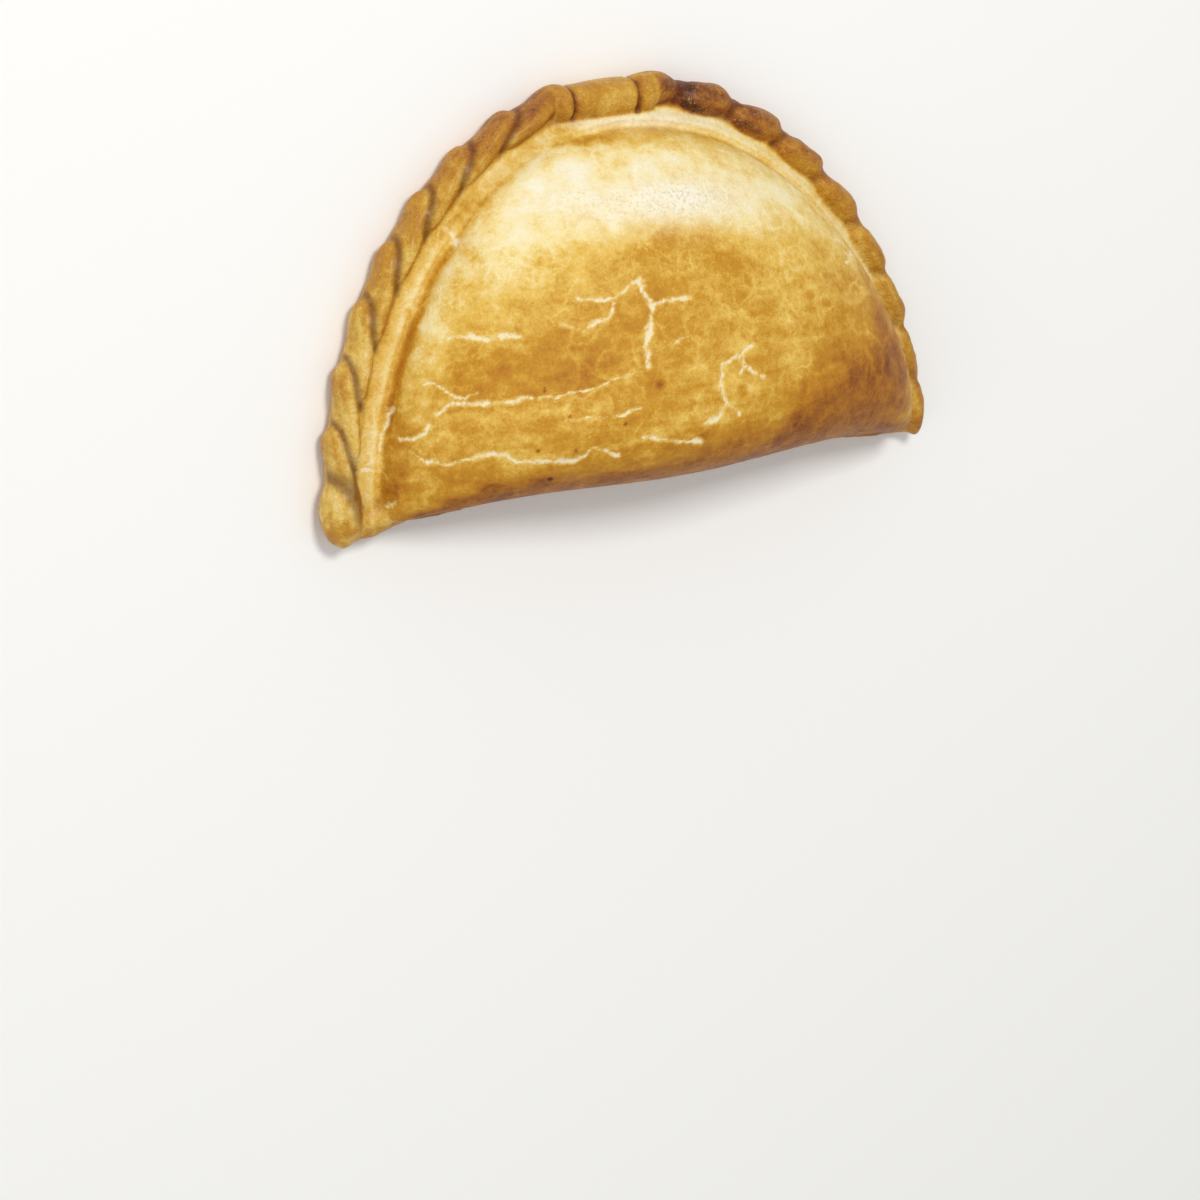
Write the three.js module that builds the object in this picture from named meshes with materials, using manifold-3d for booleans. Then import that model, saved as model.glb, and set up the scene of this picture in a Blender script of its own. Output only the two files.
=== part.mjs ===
// A whole baked empanada: a half-moon of dough folded over its filling, lying on its flat base with the
// domed side up. The straight side is the fold. The curved side is closed by a thick rope crimp with a
// plain pressed tab at its middle, and a low welt and a groove run between the rope and the dome.
//
// Millimetres, +Z up. X runs along the fold, Y from the fold to the rope, and the origin is at the
// centre of the base. Shapes are worked out with the fold near y = 0 and moved to the origin at the end.
import * as THREE from "three";
import { RoundedBoxGeometry } from "three/addons/geometries/RoundedBoxGeometry.js";
import { mergeVertices } from "three/addons/utils/BufferGeometryUtils.js";
import Module from "manifold-3d";

const { clamp, degToRad, lerp, smoothstep } = THREE.MathUtils;

// Driving dimensions
const LENGTH = 135; // from horn to horn along the fold
const DEPTH = 81; // from the horns to the edge of the rope
const HEIGHT = 37; // from the base to the top of the dome

// Plan
const HALF_LENGTH = LENGTH / 2;
const LEAN = -0.028; // sideways lean of the half-moon, for each millimetre away from the horns
const MIDDLE_Y = 0.4 * DEPTH; // a point well inside, from which directions are counted
const FOLD_DRAW = 5.4; // how far the whole fold lies behind the line of the horns
const FOLD_DIP = 0.9; // how far it dips further between a horn and the belly
const FOLD_FLARE = 5; // exponent of its run out into the horns
const CORNER_BLEND = 20; // rounding of the crust's edge at a horn
const FOOT_BLEND = 16; // rounding of the dome's foot behind a horn
const RIM_BAND = 9.0; // from the rim's edge in to the dome's foot
const RIGHT_BAND = 6.2; // the same at the right side, where the rope is thinner
const FOLD_SPREAD = 0.1; // shares of that band at which the section is all the fold's and all the rim's
const RIM_SPREAD = 0.8;
const HORN_ANGLE = -Math.atan2(MIDDLE_Y, HALF_LENGTH); // direction of the right horn

// Dome
const GROOVE_Z = 6.6; // height of the groove at its foot
const DOME_FULLNESS = 2.3; // its rise from the groove is (1 - way ** fullness) ** shoulder
const RIM_SHOULDER = 0.66; // behind the middle of the rim
const LEFT_SHOULDER = 0.54;
const RIGHT_SHOULDER = 0.4; // at the right side, where the dome stands steepest
const FOLD_ROUND = 21; // how far in from the fold the dome is full
const FOLD_FULLNESS = 2.8;
const FOLD_SHOULDER = 0.5;
const FOLD_SHARE = 0.32; // share of the dome's rise at the fold's most forward line

// Section from the dome's foot to the base. On the rim, share is the way from the foot to the edge and
// rimZ the height. On the fold, foldZ and under are the height and the draw-in below the fold's most
// forward line, as shares of the height of that line.
const SECTION = [
  { share: 0.0, rimZ: GROOVE_Z, foldZ: 1.0, under: 0.0 }, // groove at the foot
  { share: 0.17, rimZ: 7.6, foldZ: 0.86, under: 0.01 }, // welt
  { share: 0.34, rimZ: 6.4, foldZ: 0.7, under: 0.05 }, // valley beside the rope
  { share: 0.54, rimZ: 6.4, foldZ: 0.56, under: 0.09 }, // inner foot of the rope's core
  { share: 0.76, rimZ: 7.4, foldZ: 0.43, under: 0.16 }, // its top
  { share: 0.96, rimZ: 6.5, foldZ: 0.31, under: 0.25 }, // its outer shoulder
  { share: 1.04, rimZ: 4.4, foldZ: 0.19, under: 0.37 }, // its edge
  { share: 1.0, rimZ: 1.8, foldZ: 0.08, under: 0.51 }, // its outer foot
  { share: 0.87, rimZ: 0.0, foldZ: 0.0, under: 0.66 }, // edge of the base
];

const FOOT_EASE = 4; // how soon a section leaves the dome's height at its foot

// Rope crimp. A bluntness of 2 gives an ellipsoid, and taper is the share by which the ends differ.
const CRIMPS_PER_SIDE = 9;
const LEFT_SIDE = {
  cover: 0.3, // share of a crimp that the tab covers
  shift: 5.2, // how far the crimps lie toward their knob
  twist: degToRad(13), // of a crimp against the run of the rope
  crimp: { halfLength: 9.2, halfWidth: 2.25, halfHeight: 3.7, bluntness: 4.2, taper: 0.12 },
};
const RIGHT_SIDE = {
  cover: 0.92,
  shift: 1.9,
  twist: degToRad(6),
  crimp: { halfLength: 7.0, halfWidth: 3.1, halfHeight: 3.7, bluntness: 3.0, taper: 0.12 },
};
const KNOB = { halfLength: 7.0, halfWidth: 4.1, halfHeight: 4.8, bluntness: 2, taper: 0 }; // rope's ends
const HORN = { halfLength: 12.0, halfWidth: 4.2, halfHeight: 4.4, bluntness: 2, taper: 0 }; // fold's ends
const RIGHT_KNOB = 0.76; // share of the thickness of both at the right end
const HORN_X = 56; // middle of an end of the fold
const HORN_Y = 5.4;
const HORN_SLOPE = degToRad(18); // of the fold's line beside a horn
const ROPE_INSET = 2.1; // from the crust's edge to the middle of the rope
const ROPE_Z = 4.9;
const RIGHT_ROPE = 0.85; // share of the rope's width at the right side
const TIP_LIFT = degToRad(8); // the inner tip lies on the crimp before it
const UNEVENNESS = 0.07; // share by which crimps differ in size and spacing
const TWIST_UNEVENNESS = degToRad(3);

// Pressed tab at the middle of the rope
const TAB = { width: 22, depth: 6.4, height: 8.0, inset: 0.0, rounding: 3.0 };
const TAB_RIB = { halfLength: 3.7, halfWidth: 1.9, halfHeight: 4.4, bluntness: 3.4, taper: 0 };
const TAB_X = -2.2;
const TAB_Z = 0.4;

// Mesh fineness, and the shares of a section's rings that lie on the dome and on the rim
const ROUND_SEGMENTS = 88;
const SECTION_SEGMENTS = 36;
const DOME_SHARE = 0.46;
const RIM_SHARE = 0.44;
const BALL_SEGMENTS = { around: 14, along: 9 };
const BOX_SEGMENTS = 3;
const ROPE_STEPS = 240;
const OUTLINE_STEPS = 720;
const SAME_POINT = 1e-4; // points nearer than this are one
const TINY = 1e-9;

const CRUST = new THREE.MeshStandardMaterial({ color: 0xd9a650, roughness: 0.5, metalness: 0 });

// The smaller of two lengths, rounded over where they are nearly alike.
function blendedMin(a, b, blend) {
  const overlap = Math.max(blend - Math.abs(a - b), 0) / blend;
  return Math.min(a, b) - (overlap * overlap * blend) / 4;
}

// A number from -1 to 1 that looks random and is the same in every run.
function uneven(index, channel) {
  return Math.sin(12.9898 * index + 78.233 * channel);
}

// From the middle to a half ellipse over the line of the horns, in one direction.
function ellipseRadius(angle, halfLength, depth) {
  const c = Math.cos(angle) / halfLength;
  const s = Math.sin(angle) / depth;
  const offset = MIDDLE_Y / depth;
  const a = c * c + s * s;
  const b = s * offset;
  return (-b + Math.sqrt(b * b - a * (offset * offset - 1))) / a;
}

// The fold's line in plan. It dips on both sides of its belly and runs out into the horns.
function foldY(x) {
  const way = Math.min(Math.abs(x) / HALF_LENGTH, 1);
  return FOLD_DRAW * (1 - way ** FOLD_FLARE) + FOLD_DIP * Math.sin(Math.PI * way) ** 2;
}

// From the middle to the fold, in one direction.
function foldRadius(angle) {
  const down = -Math.sin(angle);
  if (down < TINY) return Infinity;
  return (MIDDLE_Y - foldY((MIDDLE_Y * Math.cos(angle)) / down)) / down;
}

function rimRadius(angle) {
  return ellipseRadius(angle, HALF_LENGTH, DEPTH);
}

function edgeRadius(angle) {
  return blendedMin(rimRadius(angle), foldRadius(angle), CORNER_BLEND);
}

// Half the length of the dome's foot on the side of x.
function footHalfLength(x) {
  return HALF_LENGTH - (x > 0 ? RIGHT_BAND : RIM_BAND);
}

function footRadius(angle) {
  const groove = ellipseRadius(angle, footHalfLength(Math.cos(angle)), DEPTH - RIM_BAND);
  return blendedMin(groove, foldRadius(angle), FOOT_BLEND);
}

// How far round to the right side a direction points, from 0 at the middle of the rim to 1.
function toRight(angle) {
  return Math.max(Math.cos(angle), 0) ** 2;
}

// Share of the full rise that the dome has over a point of the plan.
function domeRise(x, y) {
  const across = x / footHalfLength(x);
  const back = y / (DEPTH - RIM_BAND);
  const way = Math.hypot(across, back);
  const sideShoulder = x > 0 ? RIGHT_SHOULDER : LEFT_SHOULDER;
  const shoulder = lerp(RIM_SHOULDER, sideShoulder, Math.min(across * across, 1));
  const fromGroove = Math.max(1 - way ** DOME_FULLNESS, 0) ** shoulder;
  const toFull = clamp((y - foldY(x)) / FOLD_ROUND, 0, 1);
  const fromFold = (1 - (1 - toFull) ** FOLD_FULLNESS) ** FOLD_SHOULDER;
  return fromGroove * lerp(FOLD_SHARE, 1, fromFold);
}

function greatestRise() {
  const steps = 200;
  const rises = Array.from({ length: steps }, (_, i) => domeRise(0, (DEPTH * i) / steps));
  return Math.max(...rises);
}

const DOME_HEIGHT = (HEIGHT - GROOVE_Z) / greatestRise();

function domeZ(r, angle) {
  return GROOVE_Z + DOME_HEIGHT * domeRise(r * Math.cos(angle), MIDDLE_Y + r * Math.sin(angle));
}

const rimCurve = new THREE.SplineCurve(SECTION.map((p) => new THREE.Vector2(p.share, p.rimZ)));
const foldCurve = new THREE.SplineCurve(SECTION.map((p) => new THREE.Vector2(p.under, p.foldZ)));

// Distance from the middle and height, where t runs from the dome's top to the middle of the base.
function sectionPoint(angle, t) {
  const foot = footRadius(angle);
  if (t <= DOME_SHARE) {
    const r = foot * Math.sin((t / DOME_SHARE) * (Math.PI / 2));
    return { r, z: domeZ(r, angle) };
  }
  const edge = Math.max(edgeRadius(angle), foot);
  const band = lerp(RIM_BAND, RIGHT_BAND, toRight(angle));
  const weight = smoothstep((edge - foot) / band, FOLD_SPREAD, RIM_SPREAD);
  const along = Math.min((t - DOME_SHARE) / RIM_SHARE, 1);
  const onRim = rimCurve.getPoint(along);
  const onFold = foldCurve.getPoint(along).multiplyScalar(domeZ(foot, angle));
  const rimZ = onRim.y + (domeZ(foot, angle) - GROOVE_Z) * (1 - along) ** FOOT_EASE;
  const r = lerp(foot, edge, onRim.x) - onFold.x * (1 - weight);
  const inward = Math.min((1 - t) / (1 - DOME_SHARE - RIM_SHARE), 1);
  return { r: r * inward, z: Math.max(lerp(onFold.y, rimZ, weight), 0) };
}

// Directions from the middle of the fold round to it again, at even steps along the crust's edge.
function evenDirections() {
  const directionAt = (turn) => 2 * Math.PI * turn - Math.PI / 2;
  const points = [];
  for (let i = 0; i <= OUTLINE_STEPS; i++) {
    const angle = directionAt(i / OUTLINE_STEPS);
    const r = edgeRadius(angle);
    points.push(new THREE.Vector2(r * Math.cos(angle), r * Math.sin(angle)));
  }
  const outline = new THREE.SplineCurve(points);
  outline.arcLengthDivisions = OUTLINE_STEPS;
  return Array.from({ length: ROUND_SEGMENTS }, (_, i) => {
    return directionAt(outline.getUtoTmapping(i / ROUND_SEGMENTS));
  });
}

// The crust's surface: a sphere whose rings become the sections' rings.
function crustGeometry() {
  const directions = evenDirections();
  const geometry = new THREE.SphereGeometry(1, ROUND_SEGMENTS, SECTION_SEGMENTS);
  const position = geometry.getAttribute("position");
  for (let i = 0; i < position.count; i++) {
    const around = i % (ROUND_SEGMENTS + 1);
    const ring = Math.floor(i / (ROUND_SEGMENTS + 1));
    const angle = directions[around % ROUND_SEGMENTS];
    const { r, z } = sectionPoint(angle, ring / SECTION_SEGMENTS);
    position.setXYZ(i, r * Math.cos(angle), MIDDLE_Y + r * Math.sin(angle), z);
  }
  return geometry;
}

// The rope's width in one direction, as a share of its width at the left.
function ropeWidth(angle) {
  return lerp(1, RIGHT_ROPE, toRight(angle));
}

// The rim's edge drawn in by the rope's inset, from the right horn over the top to the left horn.
function ropePath() {
  const points = [];
  for (let i = 0; i <= ROPE_STEPS; i++) {
    const angle = lerp(HORN_ANGLE, Math.PI - HORN_ANGLE, i / ROPE_STEPS);
    const r = rimRadius(angle) - ROPE_INSET * ropeWidth(angle);
    points.push(new THREE.Vector3(r * Math.cos(angle), MIDDLE_Y + r * Math.sin(angle), ROPE_Z));
  }
  return new THREE.CatmullRomCurve3(points);
}

// A blunt finger of dough of the given shape, turned and set at a place on the rope.
function fingerGeometry(shape, grow, place, heading, lift) {
  const geometry = new THREE.SphereGeometry(1, BALL_SEGMENTS.around, BALL_SEGMENTS.along);
  geometry.rotateZ(Math.PI / 2);
  const position = geometry.getAttribute("position");
  for (let i = 0; i < position.count; i++) {
    const x = position.getX(i);
    const thin = Math.sqrt(Math.max(1 - x * x, TINY));
    const blunt = Math.sqrt(Math.max(1 - Math.abs(x) ** shape.bluntness, 0)) / thin;
    const full = blunt * (1 + shape.taper * x);
    position.setXYZ(i, x, position.getY(i) * full, position.getZ(i) * full);
  }
  geometry.scale(shape.halfLength * grow.long, shape.halfWidth * grow.wide, shape.halfHeight * grow.thick);
  geometry.rotateY(lift);
  geometry.rotateZ(heading);
  return geometry.translate(place.x, place.y, place.z);
}

// The crimps of the rope, ending in a knob at each horn. Each crimp runs from an inner tip to the outer
// edge, clockwise seen from above.
function ropeGeometries() {
  const path = ropePath();
  const length = path.getLength();
  const half = (length - TAB.width) / 2;
  const last = 2 * CRIMPS_PER_SIDE - 1;
  const pieces = [];
  for (let i = 0; i <= last; i++) {
    const isKnob = i === 0 || i === last;
    const onRight = i < CRIMPS_PER_SIDE;
    const side = onRight ? RIGHT_SIDE : LEFT_SIDE;
    const pitch = half / (CRIMPS_PER_SIDE - side.cover);
    const shift = isKnob ? 0 : side.shift;
    const fromHorn = ((onRight ? i : last - i) + 0.5 + UNEVENNESS * uneven(i, 1)) * pitch - shift;
    const along = (onRight ? fromHorn : length - fromHorn) / length;
    const run = path.getTangentAt(along).negate();
    const place = path.getPointAt(along);
    const angle = Math.atan2(place.y - MIDDLE_Y, place.x);
    const twist = isKnob ? 0 : side.twist + TWIST_UNEVENNESS * uneven(i, 2);
    const long = 1 + UNEVENNESS * uneven(i, 3);
    const thick = (1 + UNEVENNESS * uneven(i, 4)) * (i === 0 ? RIGHT_KNOB : 1);
    const grow = { long, wide: thick * ropeWidth(angle), thick };
    const shape = isKnob ? KNOB : side.crimp;
    const heading = Math.atan2(run.y, run.x) + twist;
    pieces.push(fingerGeometry(shape, grow, place, heading, isKnob ? 0 : TIP_LIFT));
  }
  return pieces;
}

// The two ends of the fold, which swell out to the horns.
function hornGeometries() {
  return [-1, 1].map((side) => {
    const thick = side > 0 ? RIGHT_KNOB : 1;
    const place = new THREE.Vector3(side * HORN_X, HORN_Y, HORN.halfHeight * thick);
    return fingerGeometry(HORN, { long: 1, wide: thick, thick }, place, -side * HORN_SLOPE, 0);
  });
}

// The plain pressed tab at the middle of the rope, with a low rib at each end.
function tabGeometries() {
  const middle = DEPTH - TAB.inset - TAB.depth / 2;
  const plate = new RoundedBoxGeometry(TAB.width, TAB.depth, TAB.height, BOX_SEGMENTS, TAB.rounding);
  plate.translate(TAB_X, middle, TAB_Z + TAB.height / 2);
  const ribs = [-1, 1].map((side) => {
    const x = TAB_X + side * (TAB.width / 2 - TAB_RIB.halfWidth);
    const place = new THREE.Vector3(x, middle, TAB_Z + TAB_RIB.halfHeight);
    return fingerGeometry(TAB_RIB, { long: 1, wide: 1, thick: 1 }, place, Math.PI / 2, 0);
  });
  return [plate, ...ribs];
}

const wasm = await Module();
wasm.setup();

function solidOf(geometry) {
  geometry.deleteAttribute("normal");
  geometry.deleteAttribute("uv");
  const merged = mergeVertices(geometry, SAME_POINT);
  return new wasm.Manifold(
    new wasm.Mesh({
      numProp: 3,
      vertProperties: new Float32Array(merged.getAttribute("position").array),
      triVerts: new Uint32Array(merged.index.array),
    }),
  );
}

function geometryOf(solid) {
  const { vertProperties, triVerts } = solid.getMesh();
  return new THREE.BufferGeometry()
    .setAttribute("position", new THREE.BufferAttribute(vertProperties, 3))
    .setIndex(new THREE.BufferAttribute(triVerts, 1));
}

// The space under the base, which cuts off flat what reaches below it.
function belowBase() {
  const size = 2 * LENGTH;
  return new THREE.BoxGeometry(size, size, size).translate(0, 0, -size / 2);
}

function empanadaGeometry() {
  let solid = solidOf(crustGeometry());
  for (const piece of [...ropeGeometries(), ...hornGeometries(), ...tabGeometries()]) {
    solid = solid.add(solidOf(piece));
  }
  const geometry = geometryOf(solid.subtract(solidOf(belowBase())));
  geometry.applyMatrix4(new THREE.Matrix4().makeShear(0, 0, LEAN, 0, 0, 0));
  geometry.computeBoundingBox();
  const { min, max } = geometry.boundingBox;
  geometry.translate(-(min.x + max.x) / 2, -(min.y + max.y) / 2, -min.z);
  geometry.computeVertexNormals();
  return geometry;
}

const empanada = new THREE.Mesh(empanadaGeometry(), CRUST);
empanada.name = "empanada";

const part = new THREE.Group();
part.add(empanada);

export default part;
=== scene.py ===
"""Looks of a whole baked empanada, lying on its flat base with the domed side up.

The crust is modelled again at a finer scale than the solid, from the same sizes. Dome, fold, rope crimp,
horns and pressed tab are joined into one skin, which then gets the relief and the browning that baking
leaves. Lengths are millimetres in the crust's own plan, where X runs along the fold, the fold lies near
y = 0 and z = 0 is the base, until the finished skin is moved to the frame, which is in metres.
"""

import logging
import math
from collections.abc import Iterable
from dataclasses import dataclass, field
from enum import Enum, IntEnum

import bmesh
import bpy
import numpy as np
from mathutils import Matrix, Vector

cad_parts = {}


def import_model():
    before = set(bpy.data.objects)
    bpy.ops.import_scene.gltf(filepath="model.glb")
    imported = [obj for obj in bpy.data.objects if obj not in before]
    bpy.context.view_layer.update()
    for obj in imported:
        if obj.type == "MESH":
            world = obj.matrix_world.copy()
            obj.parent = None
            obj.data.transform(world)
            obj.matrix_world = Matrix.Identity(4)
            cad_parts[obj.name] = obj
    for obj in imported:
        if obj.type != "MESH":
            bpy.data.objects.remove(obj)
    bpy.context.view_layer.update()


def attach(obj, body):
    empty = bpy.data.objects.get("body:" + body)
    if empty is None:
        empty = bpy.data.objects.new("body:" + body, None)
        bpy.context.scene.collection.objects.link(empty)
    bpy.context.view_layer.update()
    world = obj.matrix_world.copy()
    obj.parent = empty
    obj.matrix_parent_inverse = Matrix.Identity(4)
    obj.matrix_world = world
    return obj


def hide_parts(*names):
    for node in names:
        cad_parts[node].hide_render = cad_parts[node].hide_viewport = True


LOG = logging.getLogger("empanada")
MM = 0.001
TINY = 1e-9
FRAME_PX = 1200
SENSOR_MM = 36.0
NOISE_SEED = 5
NOISE_DIRECTIONS = 4096
NOISE_GAIN = 1.7
NOISE_MIDDLE = 0.5
SEED_SHIFT = 17.31
HASH_FACTORS = (73856093, 19349663, 83492791)
INDEX_PHASE = 12.9898
DRAW_PHASE = 78.233
ROUND_SHARE = 0.5

Pixel = tuple[float, float]
Span = tuple[float, float]
Triple = tuple[float, float, float]
Colour = tuple[float, float, float]
Amount = np.ndarray | float
Socket = bpy.types.NodeSocket


def eased(value: np.ndarray, low: float, high: float) -> np.ndarray:
    """Eased share from 0 at low to 1 at high, where low may be the greater of the two."""
    share = np.clip((value - low) / (high - low), 0.0, 1.0)
    return share * share * (3.0 - 2.0 * share)


def between(start: Amount, end: Amount, share: Amount) -> Amount:
    """The value at a share of the way from start to end."""
    return start + (end - start) * share


def blended_min(a: np.ndarray, b: np.ndarray, blend: float) -> np.ndarray:
    """The smaller of two lengths, rounded over where they are nearly alike."""
    overlap = np.maximum(blend - np.abs(a - b), 0.0) / blend
    return np.minimum(a, b) - overlap * overlap * blend / 4


class Draw(IntEnum):
    """What an uneven number is drawn for."""

    PLACE = 1
    TWIST = 2
    LENGTH = 3
    THICKNESS = 4
    TONE = 7


def uneven(index: int, draw: Draw) -> float:
    """A number from -1 to 1 that looks random and is the same in every run."""
    return math.sin(INDEX_PHASE * index + DRAW_PHASE * draw)


def noise_directions() -> np.ndarray:
    """Unit vectors in random directions, the same in every run."""
    vectors = np.random.default_rng(NOISE_SEED).normal(size=(NOISE_DIRECTIONS, 3))
    return vectors / np.linalg.norm(vectors, axis=1)[:, None]


DIRECTIONS = noise_directions()


def ripple(points: np.ndarray, size: float | Triple, seed: float) -> np.ndarray:
    """Smooth gradient noise from about -1 to 1 at each point.

    Args:
        points: Places in millimetres, one row each.
        size: Size of the noise's lumps, the same all ways or one for each axis.
        seed: Shifts the pattern, so that two calls differ.

    Returns:
        One value for each point.
    """
    scaled = points / np.asarray(size) + SEED_SHIFT * seed
    cell = np.floor(scaled).astype(np.int64)
    within = scaled - cell
    fade = within**3 * (within * (within * 6 - 15) + 10)
    total = np.zeros(len(points))
    for corner in np.ndindex(2, 2, 2):
        at = (cell + corner) * HASH_FACTORS
        direction = DIRECTIONS[(at[:, 0] ^ at[:, 1] ^ at[:, 2]) % len(DIRECTIONS)]
        weight = np.prod(np.where(corner, fade, 1 - fade), axis=1)
        total += weight * np.einsum("ij,ij->i", direction, within - corner)
    return NOISE_GAIN * total


def through(stations: np.ndarray, way: np.ndarray) -> np.ndarray:
    """Points on a smooth curve through stations.

    Args:
        stations: One row for each station.
        way: Shares of the way from the first station to the last.

    Returns:
        One row for each share.
    """
    last = len(stations) - 1
    place = np.clip(way, 0.0, 1.0) * last
    at = np.minimum(place.astype(int), last - 1)
    t = (place - at)[:, None]
    before, start = stations[np.maximum(at - 1, 0)], stations[at]
    end, after = stations[at + 1], stations[np.minimum(at + 2, last)]
    leave, arrive = (end - before) / 2, (after - start) / 2
    cubic = 2 * start - 2 * end + leave + arrive
    square = 3 * end - 3 * start - 2 * leave - arrive
    return ((cubic * t + square) * t + leave) * t + start


@dataclass(frozen=True)
class Wave:
    """A layer of smooth noise: how strong it is, the size of its lumps and the shift of its pattern."""

    amount: float
    size: float | Triple
    seed: float

    def at(self, points: np.ndarray) -> np.ndarray:
        """The layer's value at each point."""
        return self.amount * ripple(points, self.size, self.seed)


Waves = tuple[Wave, ...]


def layered(points: np.ndarray, waves: Waves) -> np.ndarray:
    """The sum of layers of noise at each point."""
    return sum(wave.at(points) for wave in waves)


@dataclass(frozen=True)
class Ridge:
    """A rounded ridge: its height, and its middle and width on the scale that it is laid over."""

    height: float
    middle: float
    width: float

    def over(self, value: np.ndarray) -> np.ndarray:
        """The ridge's height at each value of the scale."""
        return self.height * np.exp(-(((value - self.middle) / self.width) ** 2))


@dataclass(frozen=True)
class SectionPoint:
    """A station of the crust's section between the dome's foot and the base.

    On the rim, share is the way from the foot to the edge and rim_z the height. On the fold, fold_z and
    under are the height and the draw-in below its most forward line, as shares of that line's height.
    """

    share: float
    rim_z: float
    fold_z: float
    under: float


@dataclass(frozen=True)
class CrustShape:
    """The folded dough: its half-moon plan, its dome and its section from the dome's foot to the base."""

    length: float = 135.0
    depth: float = 81.0
    height: float = 37.0
    lean: float = -0.028
    middle_share: float = 0.4
    fold_draw: float = 5.4
    fold_dip: float = 0.9
    fold_flare: float = 5.0
    corner_blend: float = 20.0
    foot_blend: float = 16.0
    rim_band: float = 9.0
    right_band: float = 6.2
    fold_spread: float = 0.1
    rim_spread: float = 0.8
    groove_z: float = 6.6
    dome_fullness: float = 2.3
    rim_shoulder: float = 0.66
    left_shoulder: float = 0.54
    right_shoulder: float = 0.4
    fold_round: float = 21.0
    fold_fullness: float = 2.8
    fold_shoulder: float = 0.5
    fold_share: float = 0.32
    foot_ease: float = 4.0
    dome_rings: float = 0.46
    rim_rings: float = 0.44
    around: int = 240
    rings: int = 110
    dome_steps: int = 200
    edge_steps: int = 1441
    section: tuple[SectionPoint, ...] = (
        SectionPoint(0.0, 6.6, 1.0, 0.0),
        SectionPoint(0.17, 7.6, 0.86, 0.01),
        SectionPoint(0.34, 6.4, 0.7, 0.05),
        SectionPoint(0.54, 6.4, 0.56, 0.09),
        SectionPoint(0.76, 7.4, 0.43, 0.16),
        SectionPoint(0.96, 6.5, 0.31, 0.25),
        SectionPoint(1.04, 4.4, 0.19, 0.37),
        SectionPoint(1.0, 1.8, 0.08, 0.51),
        SectionPoint(0.87, 0.0, 0.0, 0.66),
    )

    @property
    def half_length(self) -> float:
        """Half the length along the fold."""
        return self.length / 2

    @property
    def middle_y(self) -> float:
        """Y of a point well inside, from which directions are counted."""
        return self.middle_share * self.depth

    @property
    def horn_angle(self) -> float:
        """Direction of the right horn."""
        return -math.atan2(self.middle_y, self.half_length)

    def ellipse_radius(self, angle: np.ndarray, half_length: Amount, depth: float) -> np.ndarray:
        """Distance from the middle to a half ellipse over the line of the horns.

        Args:
            angle: Directions from the middle.
            half_length: Half the ellipse's length along the fold.
            depth: Its reach away from the fold.

        Returns:
            One distance for each direction.
        """
        across, back = np.cos(angle) / half_length, np.sin(angle) / depth
        offset = self.middle_y / depth
        a = across * across + back * back
        b = back * offset
        return (-b + np.sqrt(b * b - a * (offset * offset - 1))) / a

    def rim_radius(self, angle: np.ndarray) -> np.ndarray:
        """Distance from the middle to the rim's half ellipse."""
        return self.ellipse_radius(angle, self.half_length, self.depth)

    def fold_y(self, x: np.ndarray) -> np.ndarray:
        """Y of the fold's line, which dips on both sides of its belly and runs out into the horns."""
        way = np.minimum(np.abs(x) / self.half_length, 1.0)
        return self.fold_draw * (1 - way**self.fold_flare) + self.fold_dip * np.sin(math.pi * way) ** 2

    def fold_radius(self, angle: np.ndarray) -> np.ndarray:
        """Distance from the middle to the fold, which is without end for directions away from it."""
        down = np.maximum(-np.sin(angle), TINY)
        return (self.middle_y - self.fold_y(self.middle_y * np.cos(angle) / down)) / down

    def edge_radius(self, angle: np.ndarray) -> np.ndarray:
        """Distance from the middle to the crust's edge."""
        return blended_min(self.rim_radius(angle), self.fold_radius(angle), self.corner_blend)

    def foot_half_length(self, x: np.ndarray) -> np.ndarray:
        """Half the length of the dome's foot on the side of x."""
        return self.half_length - np.where(x > 0, self.right_band, self.rim_band)

    def foot_radius(self, angle: np.ndarray) -> np.ndarray:
        """Distance from the middle to the dome's foot.

        Args:
            angle: Directions from the middle.

        Returns:
            One distance for each direction.
        """
        half_length = self.foot_half_length(np.cos(angle))
        groove = self.ellipse_radius(angle, half_length, self.depth - self.rim_band)
        return blended_min(groove, self.fold_radius(angle), self.foot_blend)

    def to_right(self, angle: np.ndarray) -> np.ndarray:
        """How far round to the right side a direction points, from 0 at the middle of the rim to 1."""
        return np.maximum(np.cos(angle), 0.0) ** 2

    def rim_weight(self, angle: np.ndarray) -> np.ndarray:
        """Share of the rim's section in a direction.

        Args:
            angle: Directions from the middle.

        Returns:
            One share for each direction, from 0 on the fold to 1 on the rim.
        """
        foot = self.foot_radius(angle)
        edge = np.maximum(self.edge_radius(angle), foot)
        band = between(self.rim_band, self.right_band, self.to_right(angle))
        return eased((edge - foot) / band, self.fold_spread, self.rim_spread)

    def dome_rise(self, x: np.ndarray, y: np.ndarray) -> np.ndarray:
        """Share of the full rise that the dome has over points of the plan.

        Args:
            x: Places along the fold.
            y: Places from the fold to the rim.

        Returns:
            One share for each point.
        """
        across = x / self.foot_half_length(x)
        way = np.hypot(across, y / (self.depth - self.rim_band))
        side_shoulder = np.where(x > 0, self.right_shoulder, self.left_shoulder)
        shoulder = between(self.rim_shoulder, side_shoulder, np.minimum(across * across, 1.0))
        from_groove = np.maximum(1 - way**self.dome_fullness, 0.0) ** shoulder
        to_full = np.clip((y - self.fold_y(x)) / self.fold_round, 0.0, 1.0)
        from_fold = (1 - (1 - to_full) ** self.fold_fullness) ** self.fold_shoulder
        return from_groove * between(self.fold_share, 1.0, from_fold)

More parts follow.
